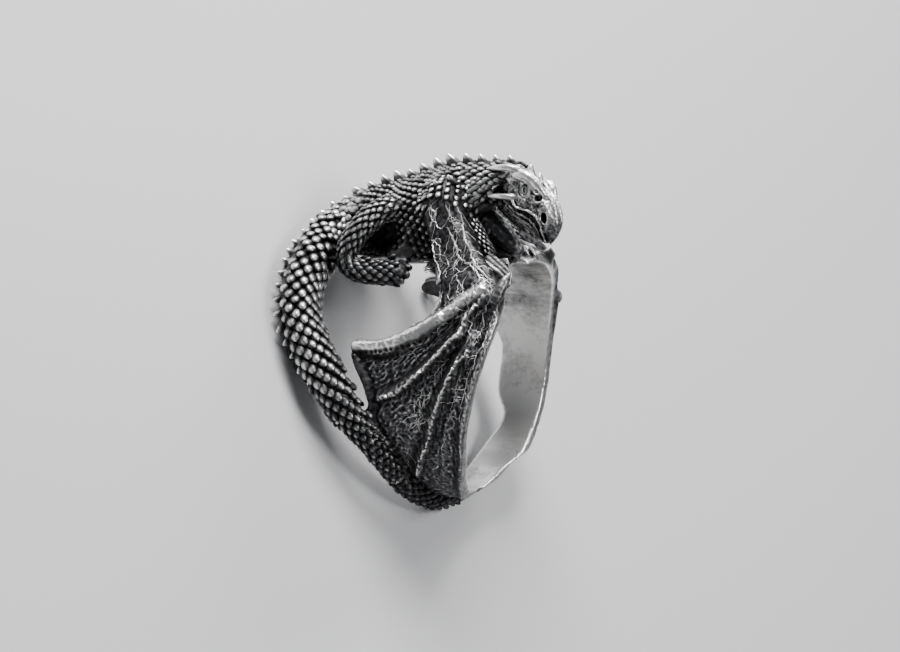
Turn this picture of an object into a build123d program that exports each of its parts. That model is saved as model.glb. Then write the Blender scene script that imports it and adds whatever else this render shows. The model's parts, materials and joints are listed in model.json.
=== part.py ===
from build123d import *
import math
import os

# A dragon ring, cast in one piece of silver.
#
# A dragon lies along the finger. Its belly, its two wings and a narrow band under the finger close
# round a plain finger hole, and its tail sweeps down one side to that band. The model is drawn with the
# finger along Y, the head towards -Y and the back up, and is laid on its side at the end, as the loose
# ring rests on a table.

# Driving dimensions, in millimetres and degrees
finger_radius = 9.9
band_wall = 1.2
reach = 7.5
back_lift = 8.4
body_width = 6.8
body_depth = 8.4

neck_radius = 1.8
tail_radius = 1.6
tail_lift = 1.85
bone_radius = 0.68
bone_lift = 1.1
arm_width = 5.0
arm_thickness = 2.0
arm_lift = 6.9
leg_radius = 1.25
toe_radius = 0.38
ball = 1.04
claw_radius = 0.75

head_length = 6.0
head_width = 3.8
head_height = 3.3
head_yaw = 23.0
head_pitch = 35.0
head_roll = 12.0
horn_radius = 0.42
eye_radius = 0.53

spike_height = 0.85
spike_radius = 0.48
spike_pitch = 1.3
scale_radius = 0.5
scale_rise = 0.22
scale_pitch = 1.2

rest_swing = 14.6
rest_lean = 25.5

# Rims of the band, all round the finger. Columns: degrees from the back of the dragon down the side,
# and the place along the finger as a share of reach, minus towards the head.
near_front_rim = [
    (0, -0.78), (16, -0.82), (30, -0.90), (44, -1.01), (54, -1.00), (64, -0.95), (75, -0.89), (85, -0.83),
    (93, -0.79), (104, -0.73), (116, -0.68), (130, -0.61), (154, -0.47), (180, -0.37),
]
near_rear_rim = [
    (180, -0.05), (161, -0.03), (143, 0.04), (127, 0.17), (113, 0.32), (100, 0.42), (93, 0.39),
]
near_web_end = [(93, 0.39), (90, 0.41), (84, 0.46), (78, 0.54), (72, 0.61), (67, 0.62)]
near_wing_top = [
    (67, 0.62), (64, 0.40), (62, 0.12), (57, -0.08), (48, -0.22), (36, -0.26), (25, -0.16), (14, 0.02),
    (0, 0.14),
]
far_front_rim = [
    (0, -0.78), (10, -0.90), (20, -1.00), (32, -1.02), (56, -0.93), (81, -0.82), (99, -0.77), (115, -0.75),
    (132, -0.71), (144, -0.65), (151, -0.54), (160, -0.48), (170, -0.43), (180, -0.37),
]
far_rear_rim = [
    (180, -0.05), (168, -0.06), (157, -0.08), (141, -0.16), (129, -0.27), (122, -0.31), (116, -0.24),
    (110, -0.19), (102, -0.19), (92, -0.21), (84, -0.17), (76, 0.05), (69, 0.36), (65, 0.68),
]
far_wing_top = [
    (65, 0.68), (61, 0.73), (58, 0.68), (56, 0.40), (53, 0.02), (47, -0.20), (36, -0.26), (25, -0.16),
    (14, 0.02), (0, 0.14),
]

# Bones of the wings. Columns: degrees, share of reach, share of bone_lift, share of bone_radius.
first_finger = [
    (36, -0.82, 1.05, 0.9), (43, -0.65, 1.0, 1.0), (49, -0.45, 1.0, 1.05), (56, -0.24, 1.0, 1.05),
    (61, -0.05, 1.0, 1.05), (66, 0.16, 1.0, 1.05), (68, 0.40, 1.0, 1.05), (69, 0.60, 1.0, 0.95),
]
second_finger = [
    (43, -0.82, 0.9, 0.75), (51, -0.71, 0.95, 0.75), (62, -0.55, 0.95, 0.75), (73, -0.32, 0.95, 0.75),
    (82, -0.02, 0.95, 0.72), (88, 0.18, 0.9, 0.68), (90, 0.36, 0.85, 0.6),
]
third_finger = [
    (46, -0.86, 0.85, 0.6), (59, -0.71, 0.85, 0.62), (72, -0.60, 0.85, 0.62), (90, -0.44, 0.85, 0.6),
    (106, -0.31, 0.8, 0.56), (122, -0.14, 0.75, 0.5), (129, -0.10, 0.55, 0.4),
]
leading_edge = [
    (48, -0.92, 0.75, 0.6), (75, -0.82, 0.75, 0.5), (104, -0.67, 0.7, 0.45), (130, -0.55, 0.6, 0.4),
    (154, -0.41, 0.5, 0.35),
]
far_first_finger = [
    (36, -0.82, 1.05, 0.9), (43, -0.65, 1.0, 1.0), (49, -0.43, 1.0, 1.05), (54, -0.20, 1.0, 1.05),
    (57, 0.02, 1.0, 1.05), (59, 0.26, 1.0, 1.05), (60, 0.48, 1.0, 1.05), (61, 0.70, 1.0, 0.95),
]
far_second_finger = [
    (43, -0.82, 0.9, 0.75), (58, -0.66, 0.9, 0.7), (78, -0.48, 0.85, 0.66), (98, -0.35, 0.8, 0.6),
    (116, -0.36, 0.7, 0.5),
]
far_third_finger = [
    (46, -0.86, 0.85, 0.6), (75, -0.70, 0.8, 0.6), (100, -0.62, 0.75, 0.55), (126, -0.50, 0.7, 0.5),
    (140, -0.34, 0.6, 0.4),
]

# Upper arm of a wing. Columns: degrees, share of reach, share of arm_lift, share of arm_width,
# share of arm_thickness.
arm_rows = [
    (9, -0.13, 1.00, 0.55, 1.10), (14, -0.15, 0.78, 0.64, 1.10), (19, -0.29, 0.49, 0.74, 1.05),
    (28, -0.48, 0.30, 0.86, 1.00), (38, -0.64, 0.22, 0.98, 0.85), (48, -0.66, 0.15, 0.95, 0.60),
    (58, -0.62, 0.08, 0.90, 0.40),
]
# Thumb claw at the wrist. Columns: degrees, share of reach, share of bone_lift, share of claw_radius.
near_claw = [(36, -0.92, 1.00, 1.00), (33, -1.05, 1.30, 0.80), (26, -1.03, 1.60, 0.15)]
far_claw = [(58, -0.84, 0.90, 0.70), (63, -0.90, 1.30, 0.55), (69, -0.88, 1.70, 0.12)]
# Two ridges of bone along the arm. Columns: degrees, share of reach, share of arm_lift.
rear_ridge = [(13, 0.05, 0.84), (21, -0.04, 0.54), (29, -0.17, 0.41), (39, -0.29, 0.30)]
front_ridge = [(10, -0.22, 0.98), (18, -0.39, 0.68), (25, -0.58, 0.50), (33, -0.84, 0.37)]

# Trunk. Columns: share of reach, share of back_lift at the top of the back, share of body_depth,
# share of body_width.
trunk_rows = [
    (-0.60, 1.00, 0.46, 0.56), (-0.44, 1.00, 0.72, 0.78), (-0.20, 0.98, 0.96, 1.00),
    (0.08, 0.91, 1.00, 1.04), (0.40, 0.79, 0.93, 1.10), (0.70, 0.71, 0.80, 1.06),
    (0.96, 0.61, 0.64, 0.84), (1.17, 0.49, 0.48, 0.60),
]
# Neck. Columns: share of reach, share of back_lift, share of neck_radius.
neck_rows = [(-0.36, 0.73, 1.20), (-0.60, 0.79, 1.04), (-0.84, 0.82, 0.95)]
# Tail. Columns: degrees, share of reach, share of tail_lift, share of tail_radius.
tail_rows = [
    (0, 0.86, 1.75, 1.36), (1, 1.05, 1.46, 1.26), (7, 1.24, 1.05, 1.16), (18, 1.33, 0.92, 1.08),
    (33, 1.33, 1.00, 1.02), (48, 1.33, 1.00, 1.00), (62, 1.22, 0.96, 1.00), (77, 0.98, 0.92, 0.96),
    (90, 0.72, 0.84, 0.87), (101, 0.54, 0.71, 0.68), (112, 0.35, 0.64, 0.60), (127, 0.21, 0.58, 0.54),
    (143, 0.09, 0.54, 0.52), (160, -0.03, 0.53, 0.51), (180, -0.12, 0.50, 0.48),
    (200, -0.18, 0.42, 0.40), (220, -0.26, 0.32, 0.30),
]

# Line of the spikes, down the back and the back of the tail. Columns: degrees, share of reach,
# share of back_lift.
spine_rows = [
    (0, -0.84, 1.01), (0, -0.60, 1.00), (0, -0.20, 0.98), (0, 0.08, 0.91), (0, 0.40, 0.79),
    (0, 0.70, 0.71), (0, 0.96, 0.61), (0, 1.17, 0.49), (6, 1.38, 0.39), (18, 1.51, 0.33),
    (33, 1.50, 0.33), (49, 1.49, 0.32), (63, 1.37, 0.31),
]
# Rows of raised scales along the tail. Column: degrees round the tail from its line of spikes.
scale_turns = [38, 78, 118]

# Legs. Columns: degrees, share of reach, lift above the finger as a share of back_lift, share of
# leg_radius.
thigh_rows = [
    (12, 0.40, 0.63, 0.95), (15, 0.54, 0.60, 1.10), (17, 0.72, 0.52, 1.10), (20, 0.88, 0.38, 1.00),
    (25, 0.95, 0.22, 0.85),
]
hind_foot_rows = [
    (27, 0.92, 0.15, 0.86), (30, 0.70, 0.13, 0.80), (31, 0.46, 0.16, 0.76), (31, 0.26, 0.17, 0.66),
]
foreleg_rows = [(9, -0.40, 0.40, 0.66), (14, -0.56, 0.30, 0.54), (17, -0.68, 0.20, 0.46)]
fore_foot_rows = [(17, -0.64, 0.19, 0.46), (18, -0.72, 0.16, 0.44), (18, -0.78, 0.14, 0.38)]
# Toes. Columns: degrees turned from the foot's own angle, share of reach from the foot forwards.
hind_toes = [(-4, -0.16), (0, -0.20), (5, -0.13)]
fore_toes = [(-5, -0.11), (0, -0.13), (5, -0.11)]

# Head, in its own frame. Columns: share of head_length forwards, share of head_height up,
# share of head_width, share of head_height.
skull_rows = [
    (-0.12, 0.00, 0.78, 0.92), (0.12, 0.04, 0.98, 0.96), (0.36, 0.08, 0.88, 0.86),
    (0.57, 0.08, 0.62, 0.70), (0.77, -0.02, 0.56, 0.64), (0.92, -0.16, 0.42, 0.50),
    (1.00, -0.32, 0.20, 0.24),
]
jaw_rows = [
    (0.08, -0.30, 0.80, 0.40), (0.34, -0.38, 0.66, 0.34), (0.60, -0.42, 0.44, 0.28),
    (0.84, -0.50, 0.30, 0.22),
]
# Brow over the eye. Columns: share of head_length forwards, share of head_width sideways,
# share of head_height up, share of horn_radius.
brow_rows = [
    (-0.02, 0.32, 0.40, 1.00), (0.18, 0.38, 0.42, 1.20), (0.40, 0.33, 0.36, 1.05),
    (0.58, 0.22, 0.26, 0.70),
]
# Two horns a side. Columns: the same.
upper_horn = [(0.02, 0.32, 0.38, 1.00), (-0.18, 0.40, 0.22, 0.75), (-0.38, 0.46, 0.06, 0.25)]
lower_horn = [(0.14, 0.42, -0.10, 0.90), (-0.08, 0.50, -0.28, 0.62), (-0.30, 0.58, -0.46, 0.20)]


def place(degrees, along, lift, side=1):
    """Point over the finger: round from the dragon's back, along it, and out from the finger hole."""
    turn = math.radians(degrees)
    out = finger_radius + lift
    return Vector(-side * out * math.sin(turn), along * reach, out * math.cos(turn))


def directions(points):
    """Direction of the path at each of its points."""
    last = len(points) - 1
    return [
        (points[min(i + 1, last)] - points[max(i - 1, 0)]).normalized() for i in range(len(points))
    ]


def section_planes(points, across):
    """Planes square to the path, whose X starts across it and is carried along without twist."""
    planes = []
    for point, forward in zip(points, directions(points)):
        across = (across - forward * across.dot(forward)).normalized()
        planes.append(Plane(origin=point, x_dir=across, z_dir=forward))
    return planes


def limb(points, radii, across=Vector(1, 0, 0)):
    """Smooth solid with a round section of its own radius at each point."""
    with BuildPart() as made:
        for plane, radius in zip(section_planes(points, across), radii):
            with BuildSketch(plane):
                Circle(radius)
        loft()
    return made.part


def flat_limb(points, sizes, across=Vector(0, 1, 0)):
    """Smooth solid with an oval section of its own width and thickness at each point."""
    with BuildPart() as made:
        for plane, (width, thickness) in zip(section_planes(points, across), sizes):
            with BuildSketch(plane):
                Ellipse(width / 2, thickness / 2)
        loft()
    return made.part


def spaced(points, pitch):
    """Places at an even pitch along a path, each with the direction of the path there."""
    placed = []
    beyond = 0.0
    for start, end in zip(points, points[1:]):
        run = (end - start).length
        while beyond < run:
            placed.append((start + (end - start) * (beyond / run), (end - start).normalized()))
            beyond += pitch
        beyond -= run
    return placed


def backwards(forward):
    """Direction in which the spikes stand: up from the back and rearwards from the tail."""
    away = Vector(0, 1, 0.8)
    return (away - forward * away.dot(forward)).normalized()


def band_side(front_rim, rear_edges, side):
    """One side of the band: a tube round the finger, cut to the rims as seen from that side."""
    middle = finger_radius + band_wall / 2

    def on_view(rows):
        return [(along * reach, middle * math.cos(math.radians(degrees))) for degrees, along in rows]

    with BuildPart() as made:
        with BuildSketch(Plane.YZ):
            with BuildLine():
                Spline(on_view(front_rim))
                for rows in rear_edges:
                    Spline(on_view(rows))
                Line(on_view([front_rim[0], rear_edges[-1][-1]]))
                Line(on_view([front_rim[-1], rear_edges[0][0]]))
            make_face()
        extrude(amount=-side * 2 * finger_radius)
        with BuildSketch(Plane.XZ):
            Circle(finger_radius + band_wall)
        extrude(amount=2 * finger_radius, both=True, mode=Mode.INTERSECT)
    return made.part


def wing(bones, claw, side):
    """Arm, bones and thumb claw of one wing, folded round the finger."""
    with BuildPart() as made:
        for rows in bones:
            points = [place(d, a, lift * bone_lift, side) for d, a, lift, _ in rows]
            add(limb(points, [share * bone_radius for *_, share in rows]))
        points = [place(d, a, lift * arm_lift, side) for d, a, lift, _, _ in arm_rows]
        add(flat_limb(points, [(w * arm_width, t * arm_thickness) for *_, w, t in arm_rows]))
        with Locations(points[0]):
            Sphere(0.5 * ball * arm_rows[0][4] * arm_thickness)
        for rows in (rear_ridge, front_ridge):
            points = [place(d, a, lift * arm_lift, side) for d, a, lift in rows]
            add(limb(points, [0.5 * bone_radius] * len(rows)))
        points = [place(d, a, lift * bone_lift, side) for d, a, lift, _ in claw]
        add(limb(points, [share * claw_radius for *_, share in claw]))
    return made.part


def ball_ended(rows, side):
    """Limb of a leg, with a ball at both of its ends."""
    points = [place(d, a, lift * back_lift, side) for d, a, lift, _ in rows]
    radii = [share * leg_radius for *_, share in rows]
    with BuildPart() as made:
        add(limb(points, radii))
        for end in (0, -1):
            with Locations(points[end]):
                Sphere(ball * radii[end])
    return made.part


def leg(upper_rows, foot_rows, toes, side):
    """Leg with its foot laid on the band and three toes."""
    foot_degrees, foot_along, foot_lift, _ = foot_rows[-1]
    foot_lift = foot_lift * back_lift
    with BuildPart() as made:
        add([ball_ended(upper_rows, side), ball_ended(foot_rows, side)])
        for turn, forward in toes:
            root = place(foot_degrees + 0.4 * turn, foot_along, foot_lift, side)
            knuckle = place(foot_degrees + turn, foot_along + 0.6 * forward, foot_lift, side)
            end = place(foot_degrees + 1.1 * turn, foot_along + forward, 0.7 * foot_lift, side)
            add(limb([root, knuckle, end], [1.2 * toe_radius, toe_radius, 0.3 * toe_radius]))
    return made.part


# Band, near side and far side
near_band = band_side(near_front_rim, [near_rear_rim, near_web_end, near_wing_top], 1)
far_band = band_side(far_front_rim, [far_rear_rim, far_wing_top], -1)

# Wings
near_wing = wing([first_finger, second_finger, third_finger, leading_edge], near_claw, 1)
far_wing = wing([far_first_finger, far_second_finger, far_third_finger, leading_edge], far_claw, -1)

# Trunk, neck and tail
with BuildPart() as trunk:
    for along, top, depth, width in trunk_rows:
        middle = finger_radius + top * back_lift - depth * body_depth / 2
        with BuildSketch(Plane(origin=(0, along * reach, middle), x_dir=(1, 0, 0), z_dir=(0, 1, 0))):
            Ellipse(width * body_width / 2, depth * body_depth / 2)
    loft()

neck = limb(
    [place(0, along, lift * back_lift) for along, lift, _ in neck_rows],
    [share * neck_radius for *_, share in neck_rows],
)
tail = limb(
    [place(d, along, lift * tail_lift) for d, along, lift, _ in tail_rows],
    [share * tail_radius for *_, share in tail_rows],
)

# Spikes down the spine, leaning back a little
with BuildPart() as spikes:
    spine = [place(degrees, along, lift * back_lift) for degrees, along, lift in spine_rows]
    for point, forward in spaced(spine, spike_pitch):
        up = backwards(forward)
        lean = (up + forward * 0.45).normalized()
        with Locations(Plane(origin=point - up * 0.5 * spike_radius, z_dir=lean)):
            Cone(
                spike_radius,
                0.15 * spike_radius,
                spike_height + 0.5 * spike_radius,
                align=(Align.CENTER, Align.CENTER, Align.MIN),
            )

# Scales of the tail, in rows on the side that shows, as low domes
scale_places = []
line = [place(degrees, along, lift * tail_lift) for degrees, along, lift, _ in tail_rows]
for number, turn in enumerate(scale_turns):
    turn = math.radians(turn)
    for point, forward in spaced(line[2:11], scale_pitch):
        nearest = min(range(len(line)), key=lambda i: (line[i] - point).length)
        up = backwards(forward)
        out = up * math.cos(turn) + up.cross(forward) * math.sin(turn)
        stagger = forward * scale_pitch * (0.5 if number % 2 else 0.0)
        surface = tail_rows[nearest][3] * tail_radius
        scale_places.append(point + stagger + out * (surface + scale_rise - scale_radius))
with BuildPart() as scaly_tail:
    add(tail)
    with Locations(*scale_places):
        Sphere(scale_radius)

# Legs
legs = [leg(thigh_rows, hind_foot_rows, hind_toes, side) for side in (1, -1)]
legs += [leg(foreleg_rows, fore_foot_rows, fore_toes, side) for side in (1, -1)]

# Head, in its own frame: X forwards, Y to the near side, Z up
with BuildPart() as head:
    for forward, up, width, height in skull_rows:
        with BuildSketch(Plane.YZ.offset(forward * head_length)):
            with Locations((0, up * head_height)):
                Ellipse(width * head_width / 2, height * head_height / 2)
    loft()
    for forward, up, width, height in jaw_rows:
        with BuildSketch(Plane.YZ.offset(forward * head_length)):
            with Locations((0, up * head_height)):
                Ellipse(width * head_width / 2, height * head_height / 2)
    loft()
    for side in (1, -1):
        for rows in (brow_rows, upper_horn, lower_horn):
            points = [
                Vector(forward * head_length, side * across * head_width, up * head_height)
                for forward, across, up, _ in rows
            ]
            add(limb(points, [share * horn_radius for *_, share in rows]))
        with Locations((0.33 * head_length, side * 0.40 * head_width, 0.22 * head_height)):
            Sphere(eye_radius)

head_place = Location(place(0, -0.84, 0.82 * back_lift)) * Rotation(
    X=-head_roll, Y=head_pitch, Z=-90 - head_yaw, ordering=Extrinsic.XYZ
)

# The casting
with BuildPart() as casting:
    add([near_band, far_band, near_wing, far_wing, trunk.part, neck, scaly_tail.part, spikes.part, *legs])
    add(head.part.moved(head_place))
    with BuildSketch(Plane.XZ):
        Circle(finger_radius)
    extrude(amount=3 * finger_radius, both=True, mode=Mode.SUBTRACT)

# Laid on its side, as it rests: on the band under the finger, the far wing tip and the tail
swing = math.radians(rest_swing)
lean = math.radians(rest_lean)
rest = Plane(
    origin=(0, 0, 0),
    x_dir=(-math.sin(swing) * math.sin(lean), -math.cos(swing) * math.sin(lean), -math.cos(lean)),
    z_dir=(-math.sin(swing) * math.cos(lean), -math.cos(swing) * math.cos(lean), math.sin(lean)),
)
dragon_ring = rest.to_local_coords(casting.part)
box = dragon_ring.bounding_box()
shift = Vector(-box.center().X, -box.center().Y, -box.min.Z)
dragon_ring = dragon_ring.moved(Location(shift))
dragon_ring.label = "dragon_ring"

os.makedirs("parts", exist_ok=True)
export_step(dragon_ring, "parts/dragon_ring.step")
print("Volume in cubic millimetres:", round(dragon_ring.volume, 1))
print("Finger hole's middle:", [round(value, 3) for value in shift])
print("Finger hole's axis:", [round(value, 5) for value in rest.to_local_coords(Vector(0, -1, 0))])
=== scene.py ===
# %% [markdown]
# # A dragon ring in oxidised silver
# The real ring is one casting: a dragon lies along the finger and its folded wings and tail close round it.
# A jeweller models such a ring in wax at several times its size, so the lesson works the same way: the plain
# casting is softened first, then the relief of the wings, the scales, the head and the claws is laid on it.
# All of it is modelled upright and in millimetres, as on a jeweller's stick, and laid down on its side last.

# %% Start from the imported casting
import bpy
import json
import math
import numpy as np
from mathutils import Matrix, Vector, noise
from mathutils.bvhtree import BVHTree
from mathutils.kdtree import KDTree


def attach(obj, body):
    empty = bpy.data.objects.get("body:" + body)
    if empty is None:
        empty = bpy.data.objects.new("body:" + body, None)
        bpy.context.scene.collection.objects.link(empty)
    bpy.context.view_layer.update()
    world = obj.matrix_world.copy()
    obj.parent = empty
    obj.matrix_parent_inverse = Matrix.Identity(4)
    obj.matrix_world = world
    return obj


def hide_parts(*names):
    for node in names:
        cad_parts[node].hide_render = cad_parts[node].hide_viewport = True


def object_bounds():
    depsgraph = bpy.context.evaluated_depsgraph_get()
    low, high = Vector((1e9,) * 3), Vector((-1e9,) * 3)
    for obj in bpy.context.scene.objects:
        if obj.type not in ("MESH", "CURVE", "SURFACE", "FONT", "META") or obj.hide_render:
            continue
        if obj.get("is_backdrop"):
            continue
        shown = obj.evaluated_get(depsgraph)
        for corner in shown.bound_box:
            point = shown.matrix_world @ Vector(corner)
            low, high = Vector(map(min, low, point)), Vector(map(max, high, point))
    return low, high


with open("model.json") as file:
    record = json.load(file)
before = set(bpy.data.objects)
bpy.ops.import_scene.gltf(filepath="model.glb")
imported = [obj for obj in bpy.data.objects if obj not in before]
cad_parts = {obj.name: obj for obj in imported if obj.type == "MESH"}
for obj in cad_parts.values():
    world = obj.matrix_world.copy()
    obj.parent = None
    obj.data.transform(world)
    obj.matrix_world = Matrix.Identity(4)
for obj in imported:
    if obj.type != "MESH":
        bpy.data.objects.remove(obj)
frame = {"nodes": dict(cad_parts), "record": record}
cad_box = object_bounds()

# Blender's noise differs from run to run unless it is given a seed.
noise.seed_set(11)

casting = frame["nodes"]["dragon_ring"]
print("the casting has", len(casting.data.polygons), "faces")

# %% [markdown]
# The loose ring rests on its side, which is a poor position to model in. Two angles and the middle of the
# finger hole say how it lies, so one matrix takes a point from the upright ring to the table, and its
# inverse takes the casting back up. In the upright ring the finger runs along Y with the dragon's head at
# the minus end, Z is up through the dragon's back, and minus X is the near side, where the tail comes down.

# %% Stand the ring upright
# In millimetres: radius of the finger hole, radius at which the wings are carved, half the band's width.
FINGER = 9.9
BAND = FINGER + 1.2
REACH = 7.5
SWING = math.radians(14.6)
LEAN = math.radians(25.5)
MM_PER_METRE = 1000

hole = frame["record"]["mounts"][0]
turn = Matrix((
    (-math.sin(SWING) * math.sin(LEAN), -math.cos(SWING) * math.sin(LEAN), -math.cos(LEAN)),
    (math.cos(SWING), -math.sin(SWING), 0.0),
    (-math.sin(SWING) * math.cos(LEAN), -math.cos(SWING) * math.cos(LEAN), math.sin(LEAN)),
))
lay_down = Matrix.Translation(hole["pos_m"]) @ turn.to_4x4() @ Matrix.Scale(1 / MM_PER_METRE, 4)
stand_up = lay_down.inverted()


def deselect():
    bpy.ops.object.select_all(action="DESELECT")


def pick(piece):
    """Makes a piece the only one selected, and the active one."""
    deselect()
    piece.select_set(True)
    bpy.context.view_layer.objects.active = piece


def put_in_scene(piece):
    bpy.context.scene.collection.objects.link(piece)


def vectors_of(things, name):
    """One vector of each point or face of a mesh, as rows of numbers."""
    values = np.empty(len(things) * 3, np.float32)
    things.foreach_get(name, values)
    return values.reshape(-1, 3).astype(float)


def points_of(piece):
    return vectors_of(piece.data.vertices, "co")


def normals_of(piece):
    return vectors_of(piece.data.vertex_normals, "vector")


def move_points(piece, points):
    piece.data.vertices.foreach_set("co", points.astype(np.float32).ravel())
    piece.data.update()


def shade_smooth(piece):
    piece.data.polygons.foreach_set("use_smooth", np.ones(len(piece.data.polygons), bool))


print("finger hole's middle on the table, mm:", [round(v * MM_PER_METRE, 2) for v in hole["pos_m"]])

# %% [markdown]
# The camera comes first, because every later choice is judged through it. The photograph looks at the
# upright ring from the near side, a little from the front and above, through a long lens. The same view
# of the lying ring is a camera rolled over by the same turn, so the ring still fills the frame as there.

# %% Camera, floor and lights
AROUND, ABOVE, AWAY = math.radians(70.0), math.radians(14.0), 350.0
PX_PER_MM = 11.7
PHOTO_WIDTH = 900
SENSOR = 36.0
back = Vector((-math.sin(AROUND) * math.cos(ABOVE), -math.cos(AROUND) * math.cos(ABOVE), math.sin(ABOVE)))
right = Vector((math.cos(AROUND), -math.sin(AROUND), 0.0))
up = back.cross(right)
aim = right * 0.35 + up * 3.85

camera_data = bpy.data.cameras.new("photo_camera")
camera = bpy.data.objects.new("photo_camera", camera_data)
put_in_scene(camera)
eye = back * AWAY
view_axis = (eye - aim).normalized()
side_axis = up.cross(view_axis).normalized()
top_axis = view_axis.cross(side_axis)
axes = Matrix((side_axis, top_axis, view_axis)).transposed()
camera.matrix_world = Matrix.Translation(lay_down @ eye) @ (turn @ axes).to_4x4()
camera_data.sensor_width = SENSOR
camera_data.lens = SENSOR * AWAY * PX_PER_MM / PHOTO_WIDTH
camera_data.clip_start = 0.01
camera_data.clip_end = 10.0
bpy.context.scene.camera = camera

deselect()
bpy.ops.mesh.primitive_plane_add(size=3.0, location=(0, 0, 0))
floor = bpy.context.object
floor.name = "studio_floor"
floor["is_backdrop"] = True
floor_paint = bpy.data.materials.new("pale_floor")
floor_paint.use_nodes = True
floor_shader = floor_paint.node_tree.nodes["Principled BSDF"]
floor_shader.inputs["Base Color"].default_value = (0.62, 0.62, 0.63, 1)
floor_shader.inputs["Roughness"].default_value = 0.6
floor.data.materials.append(floor_paint)

world = bpy.data.worlds.new("studio")
bpy.context.scene.world = world
world.use_nodes = True
world.node_tree.nodes["Background"].inputs["Color"].default_value = (0.5, 0.52, 0.55, 1)
world.node_tree.nodes["Background"].inputs["Strength"].default_value = 0.35


def softbox(name, from_where, size, power):
    """An area light that looks at the ring from a place round the upright ring, in millimetres."""
    deselect()
    bpy.ops.object.light_add(type="AREA")
    light = bpy.context.object
    light.name = name
    light.data.shape = "DISK"
    light.data.size = size / MM_PER_METRE
    light.data.energy = power
    spot = lay_down @ Vector(from_where)
    light.location = spot
    light.rotation_euler = (spot - lay_down @ Vector((0, 0, 2))).to_track_quat("Z", "Y").to_euler()


softbox("key_softbox", up * 260 + back * 90 + right * 30, 150, 1.6)
softbox("front_softbox", right * 230 + up * 60 + back * 160, 120, 0.5)
softbox("rim_softbox", up * 220 + right * 160 - back * 110, 120, 0.45)
print("camera", [round(v, 4) for v in camera.location], "lens", round(camera_data.lens, 1))

# %% [markdown]
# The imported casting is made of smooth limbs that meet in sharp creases. Wax has no such creases: it is
# pulled together where forms meet. A voxel remesh joins all the forms in one even skin, and a light
# smoothing rounds the creases and rims. The skin is then fine enough to take the relief.

# %% Soften the casting into one skin
WELD = 0.002  # corners of the casting's loose triangles that are nearer than this are one
VOXEL = 0.15


def apply_modifier(piece, kind, **settings):
    pick(piece)
    modifier = piece.modifiers.new(kind.lower(), kind)
    for name, value in settings.items():
        setattr(modifier, name, value)
    bpy.ops.object.modifier_apply(modifier=modifier.name)


def melt_together(piece, voxel, rounds):
    """Joins all the forms of a piece in one even skin, and rounds its creases."""
    apply_modifier(piece, "REMESH", mode="VOXEL", voxel_size=voxel, use_smooth_shade=True)
    apply_modifier(piece, "SMOOTH", factor=0.5, iterations=rounds)


skin = casting.copy()
skin.data = casting.data.copy()
skin.name = "silver_skin"
for key in list(skin.keys()):
    del skin[key]
skin.parent = None
put_in_scene(skin)
skin.data.transform(stand_up)
pick(skin)
bpy.ops.object.mode_set(mode="EDIT")
bpy.ops.mesh.select_all(action="SELECT")
bpy.ops.mesh.remove_doubles(threshold=WELD)
bpy.ops.object.mode_set(mode="OBJECT")
melt_together(skin, VOXEL, rounds=3)
print("the skin has", len(skin.data.polygons), "faces")

# %% [markdown]
# The wings are cast relief: membranes hang hollow between raised bones. They lie round the finger, so they
# are easiest to draw unrolled, as flat patterns: degrees round the finger from the dragon's back, and the
# place along the finger as a share of the band's reach. Each outline and each bone is a row of such points.

# %% Unroll the wings
NEAR_OUTLINE = [
    (36, -0.93), (44, -1.01), (54, -1.00), (64, -0.95), (75, -0.89), (85, -0.83), (93, -0.79), (104, -0.73),
    (116, -0.68), (130, -0.61), (154, -0.47), (180, -0.37), (180, -0.05), (161, -0.03), (143, 0.04),
    (127, 0.17), (113, 0.32), (100, 0.42), (93, 0.39), (84, 0.46), (78, 0.54), (72, 0.61), (67, 0.66),
    (64, 0.40), (58, 0.10), (54, -0.15), (46, -0.40), (38, -0.66),
]
NEAR_BONES = [
    [(40, -0.79), (45, -0.57), (53, -0.35), (60, -0.14), (64, 0.10), (66, 0.31), (67.5, 0.56)],
    [(41, -0.88), (46, -0.77), (51, -0.67), (56, -0.64), (60, -0.61), (64, -0.50), (70, -0.38), (76, -0.25),
     (83, -0.07), (87, 0.06), (89, 0.24)],
    [(60, -0.76), (68, -0.72), (71, -0.64), (80, -0.54), (92, -0.42), (98, -0.37), (107, -0.31),
     (118, -0.17), (128, -0.08)],
]
FAR_OUTLINE = [
    (30, -1.00), (44, -0.98), (56, -0.93), (81, -0.82), (99, -0.77), (115, -0.75), (132, -0.71),
    (144, -0.65), (151, -0.54), (160, -0.48), (170, -0.43), (180, -0.37), (180, -0.05), (168, -0.06),
    (157, -0.08), (141, -0.16), (129, -0.27), (122, -0.31), (116, -0.24), (110, -0.19), (102, -0.19),
    (92, -0.21), (84, -0.17), (76, 0.05), (69, 0.36), (65, 0.70), (60, 0.75), (56, 0.40), (53, 0.02),
    (47, -0.25), (40, -0.60),
]
FAR_BONES = [
    [(38, -0.80), (44, -0.60), (49, -0.40), (54, -0.18), (57, 0.04), (59, 0.26), (60, 0.48), (61, 0.70)],
    [(43, -0.82), (58, -0.66), (78, -0.48), (98, -0.35), (116, -0.30)],
    [(46, -0.86), (75, -0.72), (100, -0.64), (126, -0.52), (140, -0.36)],
]


def unroll(rows):
    """Points given by degrees and share of the reach, as flat millimetres."""
    return np.array([(math.radians(degrees) * BAND, along * REACH) for degrees, along in rows])


def off_axis(points):
    """Distance of each point from the finger's middle line."""
    return np.hypot(points[:, 0], points[:, 2])


def folded(points):
    """The points, with those of the far side mirrored to the near side."""
    return np.column_stack([-np.abs(points[:, 0]), points[:, 1:]])


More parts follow.
